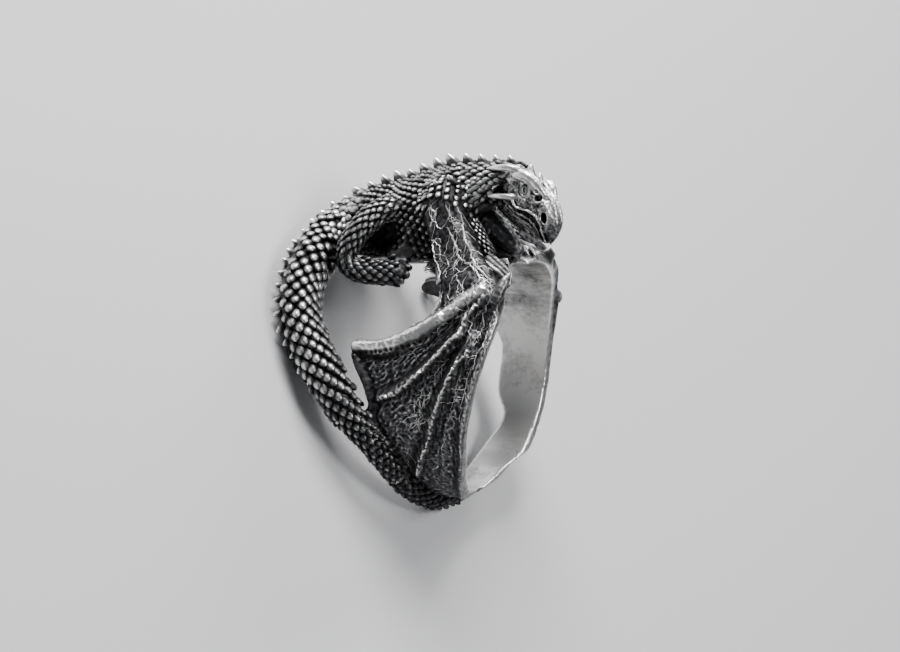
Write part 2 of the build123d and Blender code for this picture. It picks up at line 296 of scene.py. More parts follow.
def round_the_finger(points, side):
    """Flat place of each point as seen from one side, and its distance from the finger's middle line."""
    around = np.arctan2(-side * points[:, 0], points[:, 2])
    # The lower part of the other side is counted on past 180 degrees, so that no wing is cut at the bottom.
    around = np.where(around < -1.5, around + 2 * math.pi, around)
    return np.stack([around * BAND, points[:, 1]], axis=1), off_axis(points)


def on_finger(degrees, along, lift, side=1):
    """Point over the finger: degrees from the dragon's back, share of the reach, and lift in millimetres."""
    turned, out = math.radians(degrees), FINGER + lift
    return np.array([-side * out * math.sin(turned), along * REACH, out * math.cos(turned)])


def path_over(rows, side=1):
    """Path over the finger through rows that begin with degrees, share of the reach and lift."""
    return np.array([on_finger(*row[:3], side) for row in rows])


def along_runs(places, path):
    """For each run of a path, its start and how far along it the spot nearest to each place lies."""
    for start, end in zip(path, path[1:]):
        run = end - start
        yield start, np.clip((places - start) @ run / (run @ run), 0, 1)[:, None] * run


def distance_to(places, path):
    """Distance from each place to a path of points."""
    nearest = np.full(len(places), np.inf)
    for start, along in along_runs(places, path):
        nearest = np.minimum(nearest, np.linalg.norm(places - start - along, axis=1))
    return nearest


def inside(places, outline):
    """Whether each flat place is inside an outline."""
    odd = np.zeros(len(places), bool)
    for (x0, y0), (x1, y1) in zip(outline, np.roll(outline, -1, axis=0)):
        if y0 != y1:
            between = (places[:, 1] > min(y0, y1)) & (places[:, 1] <= max(y0, y1))
            odd ^= between & (places[:, 0] < x0 + (places[:, 1] - y0) * (x1 - x0) / (y1 - y0))
    return odd


def ease(value, low, high):
    """Zero below low, one above high, and a smooth rise between."""
    share = np.clip((value - low) / (high - low), 0, 1)
    return share * share * (3 - 2 * share)


def close_to(points, path, full, none):
    """One up to the first distance from a path, zero past the second, and a smooth fall between."""
    return 1 - ease(distance_to(points, path), full, none)


SEED_STEP = 17.3


def turbulence(places, size, seed):
    """A smooth random shift for each place, between minus one and one along each axis."""
    flat = np.zeros((len(places), 3))
    flat[:, :places.shape[1]] = places / size
    flat += seed * SEED_STEP
    return np.array([noise.noise_vector(point) for point in flat])


def smoothed(piece, points, rounds):
    """Places of the points after they were drawn towards their neighbours a number of times."""
    ends = np.empty(len(piece.data.edges) * 2, np.int32)
    piece.data.edges.foreach_get("vertices", ends)
    one, other = ends.reshape(-1, 2).T
    count = len(points)
    neighbours = np.maximum(np.bincount(one, minlength=count) + np.bincount(other, minlength=count), 1)
    for _ in range(rounds):
        drawn = [
            np.bincount(one, points[other, axis], count) + np.bincount(other, points[one, axis], count)
            for axis in range(3)
        ]
        points = 0.5 * points + 0.5 * np.stack(drawn, axis=1) / neighbours[:, None]
    return points


print("the near wing laid flat, mm:", np.round(np.ptp(unroll(NEAR_OUTLINE), axis=0), 1))


# %% [markdown]
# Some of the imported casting's plain forms get finer ones in this lesson: the spikes, the rods along the
# arms, the thighs, the feet and the thumb claws. Their lumps are melted back first, the way a hot spatula
# smooths wax: a point near such a form moves to where it would be after many rounds of smoothing, or is
# drawn in towards the form's middle line so that the new form covers it.

# %% Melt the plain forms back
ARM = [
    (9, -0.13, 6.9), (14, -0.15, 5.4), (19, -0.29, 3.4), (28, -0.48, 2.1), (38, -0.64, 1.5), (46, -0.66, 1.1),
]
SPINE = [
    (0, -0.84, 8.5), (0, -0.60, 8.4), (0, -0.20, 8.2), (0, 0.08, 7.6), (0, 0.40, 6.6), (0, 0.70, 6.0),
    (0, 0.96, 5.1), (0, 1.17, 4.1), (6, 1.38, 3.3), (18, 1.51, 2.8), (33, 1.50, 2.8), (49, 1.49, 2.7),
    (63, 1.37, 2.6), (77, 1.13, 2.4), (90, 0.86, 2.1),
]
# Each old form: its middle line, how near to it a point is drawn in, and by what share of the way.
OLD_FORMS = [
    ([(12, 0.40, 5.3), (15, 0.54, 5.0), (17, 0.72, 4.4), (20, 0.88, 3.2), (25, 0.95, 1.85)], 1.75, 0.62),
    ([(27, 0.92, 1.3), (30, 0.70, 1.1), (31, 0.46, 1.3), (31, 0.26, 1.4), (30, 0.05, 1.4)], 1.75, 0.62),
    ([(36, -0.98, 1.3), (33, -1.05, 1.5), (26, -1.03, 1.9)], 1.1, 0.75),
    ([(16, -0.74, 1.4), (16, -0.84, 1.1), (16, -0.97, 1.0)], 1.0, 0.7),
]
OLD_KNEE = [(22, 1.00, 3.0), (25, 1.10, 2.0), (28, 1.12, 1.6)]
OLD_FAR_CLAW = [(56, -0.94, 0.7), (60, -0.94, 0.75), (66, -0.92, 0.7)]


def draw_in(points, path, reach, share):
    """Draws points near a path in towards it."""
    to_path = distance_to(points, path)
    near = np.where(to_path < reach)[0]
    middle = np.empty((len(near), 3))
    best = np.full(len(near), np.inf)
    for start, along in along_runs(points[near], path):
        spot = start + along
        far = np.linalg.norm(points[near] - spot, axis=1)
        closer = far < best
        middle[closer] = spot[closer]
        best = np.minimum(best, far)
    amount = share * (1 - ease(to_path[near], 0.72 * reach, reach))
    new = points.copy()
    new[near] += (middle - points[near]) * amount[:, None]
    return new


points = points_of(skin)
melted = smoothed(skin, points, rounds=90)
melt = close_to(points, path_over(SPINE), 0.75, 1.15)
for side in (1, -1):
    outward = (-side * points[:, 0] > 1.6) & (off_axis(points) > BAND + 0.15)
    melt = np.maximum(melt, close_to(points, path_over(ARM, side), 2.2, 2.8) * outward)
points += (melted - points) * melt[:, None]
for side in (1, -1):
    for rows, reach, share in OLD_FORMS:
        points = draw_in(points, path_over(rows, side), reach, share)
    points = draw_in(points, path_over(OLD_KNEE, side) + (side * 0.5, -0.3, 0), reach=1.1, share=0.7)
outside_wall = (off_axis(points) > FINGER + 0.7)[:, None]
claw_drawn_in = draw_in(points, path_over(OLD_FAR_CLAW, -1), reach=1.2, share=0.7)
points = np.where(outside_wall, claw_drawn_in, points)

# The flank is pressed in behind each thigh, where the photograph shows a dark hollow.
hollow = path_over([(16, 0.62, 2.6), (16, 0.50, 3.2)])
for side in (1, -1):
    points[:, 0] += side * 0.7 * close_to(points, hollow * (side, 1, 1), 0.4, 1.7)
move_points(skin, points)
print("points melted:", int((melt > 0.1).sum()), "of", len(points))

# %% [markdown]
# Finer relief needs finer mesh, but only where the relief is. The faces of the wings and arms are selected
# by their place and subdivided, then every point of a wing is moved straight out from or in to the finger:
# in for the hollow membranes, out for the bones and for the rough grain that the casting keeps.

# %% Carve the wings
def select_faces(piece, chosen):
    """Selects faces of a piece and opens it in edit mode."""
    pick(piece)
    bpy.ops.object.mode_set(mode="EDIT")
    bpy.ops.mesh.select_mode(type="FACE")
    bpy.ops.mesh.select_all(action="DESELECT")
    bpy.ops.object.mode_set(mode="OBJECT")
    piece.data.polygons.foreach_set("select", chosen)
    bpy.ops.object.mode_set(mode="EDIT")


middles = vectors_of(skin.data.polygons, "center")
fine_faces = np.zeros(len(middles), bool)
for side, outline in ((1, NEAR_OUTLINE), (-1, FAR_OUTLINE)):
    flat, out = round_the_finger(middles, side)
    fine_faces |= inside(flat, unroll(outline)) & (out > BAND - 0.45) & (out < BAND + 1.0) & (flat[:, 0] > 0)
    outward = (-side * middles[:, 0] > 1.8) & (out > BAND + 0.1)
    fine_faces |= (distance_to(middles, path_over(ARM, side)) < 2.6) & outward
select_faces(skin, fine_faces)
bpy.ops.mesh.subdivide(number_cuts=1)
bpy.ops.object.mode_set(mode="OBJECT")
print("faces of the wings and arms", int(fine_faces.sum()), "of the skin now", len(skin.data.polygons))


def ridge(distance, width):
    return np.exp(-(distance / width) ** 2)


def moved_aside(path, distance):
    """A flat path moved to its right-hand side, which is the lower side of a wing bone."""
    run = np.gradient(path, axis=0)
    run = run / np.linalg.norm(run, axis=1)[:, None]
    return path + distance * np.stack([run[:, 1], -run[:, 0]], axis=1)


def carve_wing(points, side, outline, bones, seed):
    """New places for the points of one wing."""
    flat, out = round_the_finger(points, side)
    flat_outline = unroll(outline)
    on_band = (out > BAND - 0.45) & (out < BAND + 1.2) & (flat[:, 0] > 0)
    chosen = inside(flat, flat_outline) & on_band
    places = flat[chosen]
    to_rim = distance_to(places, np.vstack([flat_outline, flat_outline[:1]]))
    first, second, third = [distance_to(places, unroll(rows)) for rows in bones]
    under_second, under_third = [distance_to(places, moved_aside(unroll(rows), 0.36)) for rows in bones[1:]]
    from_bone = np.minimum(first - 0.30, np.minimum(second, third))
    hollow = ease(np.minimum(from_bone - 0.10, to_rim - 0.12), 0.0, 0.85)
    from_wrist = places - unroll([(38, -0.84)])[0]
    far_off = np.linalg.norm(from_wrist, axis=1)
    wrist = ease(far_off, 0.8, 3.0)
    fan = np.stack([np.arctan2(from_wrist[:, 1], from_wrist[:, 0]) * 8, far_off * 0.30], axis=1)
    wrinkles = 0.30 - np.abs(turbulence(fan, 0.30, seed + 5)[:, 0])
    grain = turbulence(places, 0.30, seed + 9)[:, 0]
    folds = turbulence(places * (0.55, 1.0), 0.8, seed + 3)[:, 0]
    bands = 0.5 + 0.5 * np.sin(places[:, 1] * 14 + 2.0 * folds)
    rise = (
        -0.50 * hollow * wrist + 0.16 * ridge(first, 0.42)
        + (0.22 + 0.22 * grain) * ridge(second + 0.06 * folds, 0.20) * (0.4 + 0.6 * wrist)
        + np.clip(0.13 + 0.30 * folds + 0.25 * grain, 0.02, 0.3) * ridge(third + 0.05 * grain, 0.15)
        - (0.10 + 0.16 * bands) * ridge(under_second, 0.16) * wrist
        - (0.06 + 0.12 * bands) * ridge(under_third, 0.15) * wrist
        - (0.08 + 0.12 * bands) * ridge(first - 0.68, 0.13) * wrist
        + 0.06 * grain + 0.09 * np.abs(folds) * hollow + 0.17 * wrinkles * (0.35 + 0.65 * hollow)
    )
    middle_line = points[chosen] * (1, 0, 1)
    new = points.copy()
    new[chosen] += middle_line / out[chosen][:, None] * rise[:, None]
    return new


def grain_arm(points, normals, side, seed):
    """Rough skin on the upper arm."""
    to_arm = distance_to(points, path_over(ARM, side))
    chosen = (to_arm < 2.7) & (-side * points[:, 0] > 1.8) & (off_axis(points) > BAND + 0.1)
    fade = 1 - ease(to_arm[chosen], 1.9, 2.6)
    fine = turbulence(points[chosen], 0.33, seed)[:, 0]
    coarse = turbulence(points[chosen], 0.9, seed + 1)[:, 0]
    new = points.copy()
    new[chosen] += normals[chosen] * ((0.045 * fine + 0.10 * coarse) * fade)[:, None]
    return new


plain = points_of(skin)
points = carve_wing(plain, 1, NEAR_OUTLINE, NEAR_BONES, 1)
points = carve_wing(points, -1, FAR_OUTLINE, FAR_BONES, 2)
for side, seed in ((1, 11), (-1, 12)):
    points = grain_arm(points, normals_of(skin), side, seed)
move_points(skin, points)
print("the deepest relief, mm:", round(float(np.linalg.norm(points - plain, axis=1).max()), 2))

# %% [markdown]
# Veins wander over the arms and membranes as thin bright threads. A jeweller lays them on as threads of
# wax, so each one is drawn the same way: a few points of its course in the unrolled pattern, a wobble, and
# short side branches that a seeded chance lets grow from it. Every point is then dropped on the skin, and
# all the threads become one curve object that is turned into a mesh once.

# %% Courses of the veins
# Each row: thickness in millimetres, then degrees and share of the reach along the vein.
VEINS = [
    (0.10, [(16, 0.02), (17.6, -0.11), (18.7, -0.06), (20.7, -0.03), (25, -0.12), (30, -0.19), (34, -0.27),
            (38, -0.29), (44, -0.32)]),
    (0.07, [(17.0, -0.13), (18.5, -0.09), (20.8, -0.17), (19.3, -0.22), (16.9, -0.28)]),
    (0.13, [(13, -0.28), (15, -0.33), (16.7, -0.41), (20.4, -0.45), (22.7, -0.50), (26.3, -0.58), (29, -0.61),
            (33, -0.76), (35, -0.88)]),
    (0.11, [(20.4, -0.25), (21.8, -0.32), (24.5, -0.38), (28.5, -0.48), (30.7, -0.58), (32.7, -0.69),
            (36, -0.78), (41, -0.88)]),
    (0.08, [(30.7, -0.58), (29.8, -0.67), (32.5, -0.76)]),
    (0.07, [(31.5, -0.58), (33.2, -0.54), (34.2, -0.45), (37.6, -0.50), (43.3, -0.52)]),
    (0.06, [(34.2, -0.45), (37.5, -0.41), (40.4, -0.41), (43.5, -0.37)]),
    (0.06, [(28, -0.30), (31, -0.34), (34, -0.30)]),
    (0.05, [(22, -0.12), (25, -0.20), (28, -0.22), (31, -0.28)]),
    (0.05, [(24, -0.52), (27, -0.50), (30, -0.44), (33, -0.40)]),
    (0.05, [(15.5, -0.20), (17.5, -0.24), (19.0, -0.33), (22, -0.40)]),
    (0.05, [(36, -0.60), (39, -0.56), (42, -0.60), (45, -0.52)]),
    (0.05, [(39, -0.72), (43, -0.70), (47, -0.60)]),
    (0.05, [(70, -0.52), (74, -0.42), (80, -0.36), (84, -0.24), (90, -0.18)]),
    (0.05, [(78, -0.66), (84, -0.62), (92, -0.58), (100, -0.50)]),
    (0.05, [(84, -0.36), (90, -0.26), (98, -0.20), (104, -0.08)]),
    (0.05, [(64, -0.24), (66.5, -0.14), (70, -0.01), (73, 0.13), (76.7, 0.38)]),
    (0.07, [(48, -0.67), (54, -0.44), (59, -0.30), (61.5, -0.22)]),
    (0.07, [(50.6, -0.96), (62, -0.91), (67.6, -0.83), (71.6, -0.82), (75.6, -0.78), (83.7, -0.73),
            (90.5, -0.70), (97.4, -0.67)]),
    (0.06, [(52.3, -0.69), (53.9, -0.73), (56.7, -0.71), (59.3, -0.74), (63.4, -0.71), (65.6, -0.80)]),
    (0.06, [(44, -0.90), (49, -0.84), (54, -0.86), (60, -0.80)]),
    (0.05, [(88, -0.20), (97.4, -0.10), (100.8, 0.05), (107, 0.13)]),
    (0.05, [(92, -0.40), (95.7, -0.36), (98.8, -0.28), (100.7, -0.17)]),
    (0.05, [(113.7, -0.03), (120, 0.02), (128, 0.01)]),
    (0.05, [(104, -0.52), (112, -0.44), (122, -0.33)]),
]


def wander(rows, wobble, step, seed):
    """A wandering flat path through rows of degrees and share of the reach."""
    corners = unroll(rows)
    run = np.concatenate([[0], np.cumsum(np.linalg.norm(np.diff(corners, axis=0), axis=1))])
    stops = np.linspace(0, run[-1], max(int(run[-1] / step), 3))
    path = np.stack([np.interp(stops, run, corners[:, i]) for i in range(2)], axis=1)
    shake = turbulence(path, 0.55, seed)[:, :2] + 0.9 * turbulence(path, 0.21, seed + 1)[:, :2]
    return path + wobble * shake


STEP = 0.13
TWIG_STEP = 0.12
TWIG_EVERY = 0.55  # one side branch for each such length of vein


def grown(courses, seed):
    """The courses with side branches: flat paths with a thickness at each point."""
    chance = np.random.default_rng(seed)
    threads = []
    for number, (thick, rows) in enumerate(courses):
        path = wander(rows, wobble=0.18, step=STEP, seed=seed + number)
        taper = np.interp(np.linspace(0, 1, len(path)), [0, 0.1, 0.7, 1], [0.5, 1, 0.9, 0.35])
        threads.append((path, 0.88 * thick * taper * chance.uniform(0.75, 1.2, len(path))))
        for _ in range(int(len(path) * STEP / TWIG_EVERY)):
            start = chance.integers(1, len(path) - 1)
            heading = path[start + 1] - path[start - 1]
            turned = math.atan2(heading[1], heading[0]) + chance.choice([-1, 1]) * chance.uniform(0.6, 1.3)
            length = chance.uniform(0.4, 1.4)
            end = path[start] + length * np.array([math.cos(turned), math.sin(turned)])
            steps = np.linspace(0, 1, max(int(length / TWIG_STEP), 3))[:, None]
            branch = path[start] + (end - path[start]) * steps
            branch = branch + 0.30 * np.sqrt(steps) * turbulence(branch, 0.28, seed + start)[:, :2]
            threads.append((branch, thick * 0.5 * np.interp(steps[:, 0], [0, 1], [1, 0.4])))
    return threads


def skin_tree(*others):
    """A search tree over the skin and other pieces, to drop things on them."""
    points, faces = [], []
    for piece in (skin, *others):
        faces += [tuple(c + len(points) for c in face.vertices) for face in piece.data.polygons]
        points += points_of(piece).tolist()
    return BVHTree.FromPolygons(points, faces)


HIGH = 11  # from this far over the finger, things are dropped on the skin


def dropped(path, thick, side, tree, sink):
    """The path dropped on the skin towards the finger, cut wherever the skin falls away."""
    runs, current = [], []
    for (around, along), radius in zip(path, thick):
        out = np.array([-side * math.sin(around / BAND), 0, math.cos(around / BAND)])
        start = Vector(out * (FINGER + HIGH)) + Vector((0, along, 0))
        place, _, _, _ = tree.ray_cast(start, Vector(-out), HIGH)
        if place is None or (current and (place - current[-1][0]).length > 0.7):
            runs.append(current)
            current = []
        if place is not None:
            current.append((place - Vector(out) * sink * radius, radius))
    runs.append(current)
    return [run for run in runs if len(run) > 3]


def round_curve(name, roundness, caps):
    """An empty curve with a round section, whose radius each of its points will give."""
    curve = bpy.data.curves.new(name, "CURVE")
    curve.dimensions = "3D"
    curve.bevel_depth = 1.0
    curve.bevel_resolution = roundness
    curve.use_fill_caps = caps
    return curve


def add_thread(curve, kind, points, radii):
    spline = curve.splines.new(kind)
    spline.points.add(len(points) - 1)
    for corner, place, radius in zip(spline.points, points, radii):
        corner.co = (*place, 1.0)
        corner.radius = radius
    return spline


def curve_to_mesh(name, curve):
    threads = bpy.data.objects.new(name, curve)
    put_in_scene(threads)
    pick(threads)
    bpy.ops.object.convert(target="MESH")
    return bpy.context.object


# %% Lay the veins on
tree = skin_tree()
runs = []
for side, seed in ((1, 40), (-1, 80)):
    for path, thick in grown(VEINS, seed):
        runs += dropped(path, thick, side, tree, sink=0.15)
vein_curve = round_curve("veins", roundness=2, caps=True)
for run in runs:
    add_thread(vein_curve, "POLY", *zip(*run))
vein_threads = curve_to_mesh("veins", vein_curve)
shade_smooth(vein_threads)
print("veins:", len(runs), "threads,", len(vein_threads.data.polygons), "faces")

# %% [markdown]
# Silver is blackened all over and then polished, so it is bright wherever a cloth reaches and black where it
# doesn't. What a cloth reaches is what stands proud of its surroundings: each point is compared with a
# smoothed copy of the mesh, and how far it stands out goes into the attribute "wear_and_light", which
# later also takes painted light and shade.

# %% Where the polish reaches
def proud(piece, rounds):
    """How far each point stands out of its surroundings, in millimetres."""
    points = points_of(piece)
    return ((points - smoothed(piece, points, rounds)) * normals_of(piece)).sum(axis=1)


def keep_value(piece, name, values):
    """Keeps a number at each point of a piece, where a material can read it."""
    layer = piece.data.attributes.new(name, "FLOAT", "POINT")
    layer.data.foreach_set("value", values.astype(np.float32))


# The wear of the silver and the painted light and shade are kept together as one attribute.
def keep_wear_and_light(piece, wear_and_light):
    keep_value(piece, "wear_and_light", np.clip(wear_and_light, 0, 1))


# %% [markdown]
# One material serves the whole casting. The attribute "wear_and_light", which holds the wear and the painted
# light and shade, mixes between the black oxide and the bright metal, a fine noise breaks the border between
# them, and the same mix sets the roughness, because the oxide is dull. Inside the finger hole, which the
# attribute "polished" marks, a coarser noise leaves pale stains.

# %% Oxidised silver
silver = bpy.data.materials.new("oxidised_silver")
silver.use_nodes = True
nodes, links = silver.node_tree.nodes, silver.node_tree.links
shader = nodes["Principled BSDF"]
shader.inputs["Metallic"].default_value = 1.0
where = nodes.new("ShaderNodeTexCoord")


def attribute_node(name):
    node = nodes.new("ShaderNodeAttribute")
    node.attribute_name = name
    return node.outputs["Fac"]


def noise_node(scale, detail):
    node = nodes.new("ShaderNodeTexNoise")
    node.inputs["Scale"].default_value = scale
    node.inputs["Detail"].default_value = detail
    links.new(where.outputs["Object"], node.inputs["Vector"])
    return node.outputs["Fac"]


def math_node(operation, *values):
    """A math node whose inputs are plain numbers or the outputs of other nodes."""
    node = nodes.new("ShaderNodeMath")
    node.operation = operation
    for socket, value in zip(node.inputs, values):
        if isinstance(value, float):
            socket.default_value = value
        else:
            links.new(value, socket)
    return node.outputs[0]


grain = math_node("MULTIPLY_ADD", noise_node(2600, 3), 0.5, -0.25)
grained = math_node("ADD", attribute_node("wear_and_light"), grain)
stains = math_node("MULTIPLY_ADD", noise_node(380, 4), 1.3, -0.65)
bright = math_node("MULTIPLY_ADD", stains, attribute_node("polished"), grained)

TONES = [(0.0, (0.012, 0.012, 0.013, 1)), (0.35, (0.10, 0.10, 0.103, 1)), (0.95, (0.91, 0.90, 0.88, 1))]
tones = nodes.new("ShaderNodeValToRGB")
tones.color_ramp.elements.new(0.35)
for stop, (position, colour) in zip(tones.color_ramp.elements, TONES):
    stop.position = position
    stop.color = colour
links.new(bright, tones.inputs["Fac"])
links.new(tones.outputs["Color"], shader.inputs["Base Color"])
dullness = nodes.new("ShaderNodeMapRange")
dullness.inputs["To Min"].default_value = 0.55
dullness.inputs["To Max"].default_value = 0.30
links.new(bright, dullness.inputs["Value"])
links.new(dullness.outputs["Result"], shader.inputs["Roughness"])


def coat(piece):
    """Gives a piece this silver and nothing else."""
    piece.data.materials.clear()
    piece.data.materials.append(silver)


coat(vein_threads)
places = points_of(vein_threads)
# Painted light from above: the veins are lighter the higher they lie, and a random tone varies them.
light_from_above = np.interp(places[:, 2], [-8, 0], [0.42, 0.60])
keep_wear_and_light(vein_threads, light_from_above + 0.45 * turbulence(places, 1.2, 7)[:, 0])
print("oxidised silver has", len(nodes), "nodes")

# %% [markdown]
# The body, tail and legs are covered in scales, hundreds of them and all alike. Such a repeat is modelled
# once and stamped: a ball is squashed, drawn out towards its free end and lifted there like a roof tile.
# Each stamp is later turned so that its X goes across the limb, its Y towards the tail and its Z outwards.

# %% One scale and one fin
def stamp_from_ball(name, segments, rings, shape):
    """Corners and faces of a ball that was reshaped by a function of its place."""
    deselect()
    bpy.ops.mesh.primitive_uv_sphere_add(segments=segments, ring_count=rings, radius=1.0)
    ball = bpy.context.object
    ball.name = name
    corners = np.array([shape(*corner) for corner in points_of(ball)])
    faces = [tuple(face.vertices) for face in ball.data.polygons]
    bpy.data.objects.remove(ball, do_unlink=True)
    return corners, faces


def tile(x, y, z):
    narrowing = 1 - 0.40 * max(y, 0) ** 2
    return 0.50 * x * narrowing, 0.52 * y, 0.40 * z + 0.16 + 0.22 * y


def fin(x, y, z):
    height = max(z, 0)
    narrower = 1 - 0.12 * height
    shorter = 1 - 0.50 * height ** 0.7
    return 0.5 * x * narrower, 0.5 * y * shorter + 0.28 * height, height if z > 0 else 0.5 * z


scale_stamp = stamp_from_ball("scale", segments=10, rings=6, shape=tile)
fin_stamp = stamp_from_ball("fin", segments=12, rings=9, shape=fin)
print("a scale has", len(scale_stamp[1]), "faces and a fin", len(fin_stamp[1]))


def stamp_out(name, stamp, places, outs, backs, sizes, brightness, from_height=0.57):
    """One joined mesh of a stamp at many places. Sizes are its width, length and height at each."""
    corners, faces = stamp
    outs = outs / np.linalg.norm(outs, axis=1)[:, None]
    backs = backs - outs * (backs * outs).sum(1)[:, None]
    backs = backs / np.linalg.norm(backs, axis=1)[:, None]
    across = np.cross(backs, outs)
    axes = np.stack([across, backs, outs], axis=1) * sizes[:, :, None]
    reach = np.einsum("ci,nij->ncj", corners, axes)
    # A copy that would go under the table is shrunk until it fits.
    table_up = np.array(lay_down.to_3x3())[2] * MM_PER_METRE
    room = places @ table_up + lay_down.translation.z * MM_PER_METRE
    room = np.clip(room / np.maximum(-(reach @ table_up).min(axis=1), 0.01), 0.35, 1)
    put = places[:, None, :] + reach * room[:, None, None]
    count = len(corners)
    mesh = bpy.data.meshes.new(name)
    mesh.from_pydata(
        put.reshape(-1, 3).tolist(), [],
        [[corner + count * copy for corner in face] for copy in range(len(places)) for face in faces],
    )
    piece = bpy.data.objects.new(name, mesh)
    put_in_scene(piece)
    top = corners[:, 2].max()
    tip = ease(corners[:, 2], from_height * top, 1.05 * top)
    keep_wear_and_light(piece, ((0.14 + 0.80 * tip)[None, :] * brightness[:, None]).ravel())
    shade_smooth(piece)
    coat(piece)
    print(name, len(places), "copies,", len(mesh.polygons), "faces")
    return piece


# %% [markdown]
# Scales lie in rings round a limb, each ring half a scale round from the last, as tiles do. A limb is a path
# with a thickness, the same as in the casting. Each scale is dropped straight in on the skin from outside,
# and one that meets another form first, such as a leg over the flank, is left out.

# %% Rings of scales
def smooth_path(points, radii, step):
    """Points at an even step along a smooth path, with the direction and the radius at each."""
    rows = np.column_stack([points, radii])
    rows = np.vstack([2 * rows[0] - rows[1], rows, 2 * rows[-1] - rows[-2]])
    fine = []
    for before, start, end, after in zip(rows, rows[1:], rows[2:], rows[3:]):
        for t in np.linspace(0, 1, 24, endpoint=False):
            fine.append(0.5 * (
                2 * start + (end - before) * t + (2 * before - 5 * start + 4 * end - after) * t ** 2
                + (3 * start - before - 3 * end + after) * t ** 3
            ))
    fine = np.array(fine + [rows[-2]])
    run = np.concatenate([[0], np.cumsum(np.linalg.norm(np.diff(fine, axis=0), axis=1))])
    stops = np.arange(0, run[-1], step)
    even = np.stack([np.interp(stops, run, fine[:, i]) for i in range(4)], axis=1)
    direction = np.gradient(even[:, :3], axis=0)
    return even[:, :3], direction / np.linalg.norm(direction, axis=1)[:, None], even[:, 3]


def ring_of_scales(middle, forward, top, wide, deep, width, shift, reach_out, tree, start, end):
    """Scales round one ring: place on the skin, way out, room round the ring, and way along, of each."""
    across = np.cross(forward, top)
    count = max(int(round(2 * math.pi * (wide + deep) / 2 / width)), 5)
    found = []
    for number in range(count):
        turned = 2 * math.pi * (number + shift) / count
        if not start <= abs(math.degrees(math.remainder(turned, 2 * math.pi))) <= end:
            continue
        out = top * math.cos(turned) * deep + across * math.sin(turned) * wide
        expected = np.linalg.norm(out)
        out = out / expected
        outside = middle + out * (expected + reach_out)
        place, normal, _, distance = tree.ray_cast(Vector(outside), Vector(-out), 2.2 * reach_out)
        if place is not None and abs(distance - reach_out) < 0.5:
            room = 2 * math.pi * expected / count
            found.append((np.array(place), 0.6 * out + 0.4 * np.array(normal), room, forward))
    return found


# %% [markdown]
# The limbs and the head are built as a jeweller builds them, from lumps and threads of wax that are melted
# together. A lump is a circle that is extruded ring by ring, a thread is a curve with a thickness at each
# point, and a voxel remesh followed by a little smoothing does the melting.

# %% Wax threads and drawn-out lumps
def wax_thread(points, radii, closed=False):
    """A round thread through points with its own thickness at each, as a mesh."""
    curve = round_curve("thread", roundness=4, caps=not closed)
    curve.resolution_u = 8
    spline = add_thread(curve, "NURBS", points, radii)
    spline.use_cyclic_u = closed
    spline.use_endpoint_u = not closed
    spline.order_u = 3
    return curve_to_mesh("thread", curve)


def wax_lump(rows, corners=28):
    """A lump drawn out along X ring by ring. Rows: place along X, height, width across and depth."""
    deselect()
    bpy.ops.mesh.primitive_circle_add(vertices=corners, radius=0.5, fill_type="NGON")
    lump = bpy.context.object
    first = rows[0]
    bpy.ops.object.mode_set(mode="EDIT")
    bpy.ops.mesh.select_all(action="SELECT")
    bpy.ops.transform.rotate(value=math.radians(90), orient_axis="Y", center_override=(0, 0, 0))
    bpy.ops.transform.resize(value=(1, first[2], first[3]), center_override=(0, 0, 0))
    bpy.ops.transform.translate(value=(first[0], 0, first[1]))
    for before, row in zip(rows, rows[1:]):
        move = (row[0] - before[0], 0, row[1] - before[1])
        bpy.ops.mesh.extrude_region_move(TRANSFORM_OT_translate={"value": move})
        bpy.ops.transform.resize(
            value=(1, row[2] / before[2], row[3] / before[3]), center_override=(row[0], 0, row[1]),
        )
    bpy.ops.mesh.select_all(action="SELECT")
    bpy.ops.mesh.normals_make_consistent(inside=False)
    bpy.ops.object.mode_set(mode="OBJECT")
    return lump


def wax_ball(place, size):
    deselect()
    bpy.ops.mesh.primitive_uv_sphere_add(segments=24, ring_count=16, radius=1.0, location=place)
    ball = bpy.context.object
    ball.scale = size
    bpy.ops.object.transform_apply(location=True, rotation=False, scale=True)
    return ball


def join_wax(parts, name, voxel, rounds):
    """Melts parts together in one piece of silver."""
    deselect()
    for part in parts:
        part.select_set(True)
    bpy.context.view_layer.objects.active = parts[0]
    bpy.ops.object.join()
    whole = bpy.context.object
    whole.name = name
    melt_together(whole, voxel, rounds)
    coat(whole)
    return whole


# %% [markdown]
# Each hind leg is folded in a C round a dark hollow: the thigh comes back and down from the flank, and the
# long foot lies forwards again with three toes. The thumb claws stand up at the wrists, and the toes of the
# forefeet hook over the rim of the band. The breast fills the dark corner between the forelegs.

# %% Legs, toes and claws
# Columns: degrees, share of the reach, lift in millimetres, thickness in millimetres.
HIND_LEG = [
    (11.5, 0.48, 5.2, 0.86), (15, 0.62, 4.9, 0.92), (19.5, 0.76, 4.2, 0.84), (25, 0.87, 3.2, 0.76),
    (29, 0.92, 2.2, 0.72), (32, 0.82, 1.5, 0.76), (32, 0.61, 1.3, 0.80), (31, 0.44, 1.25, 0.86),
    (30, 0.31, 1.2, 0.88),
]
HEEL_WEB = [(30, 0.76, 1.5, 0.60), (27, 0.58, 1.5, 0.66), (25, 0.42, 1.4, 0.60), (23, 0.28, 1.3, 0.40)]
HIND_TOES = [
    [(32.5, 0.37, 1.0, 0.50), (33.5, 0.29, 1.0, 0.44), (34, 0.24, 0.95, 0.32)],
    [(30.5, 0.32, 1.2, 0.60), (30.5, 0.25, 1.15, 0.52), (30.5, 0.20, 1.1, 0.36)],
    [(28, 0.34, 1.35, 0.52), (27, 0.26, 1.3, 0.46), (26.5, 0.20, 1.25, 0.32)],
]
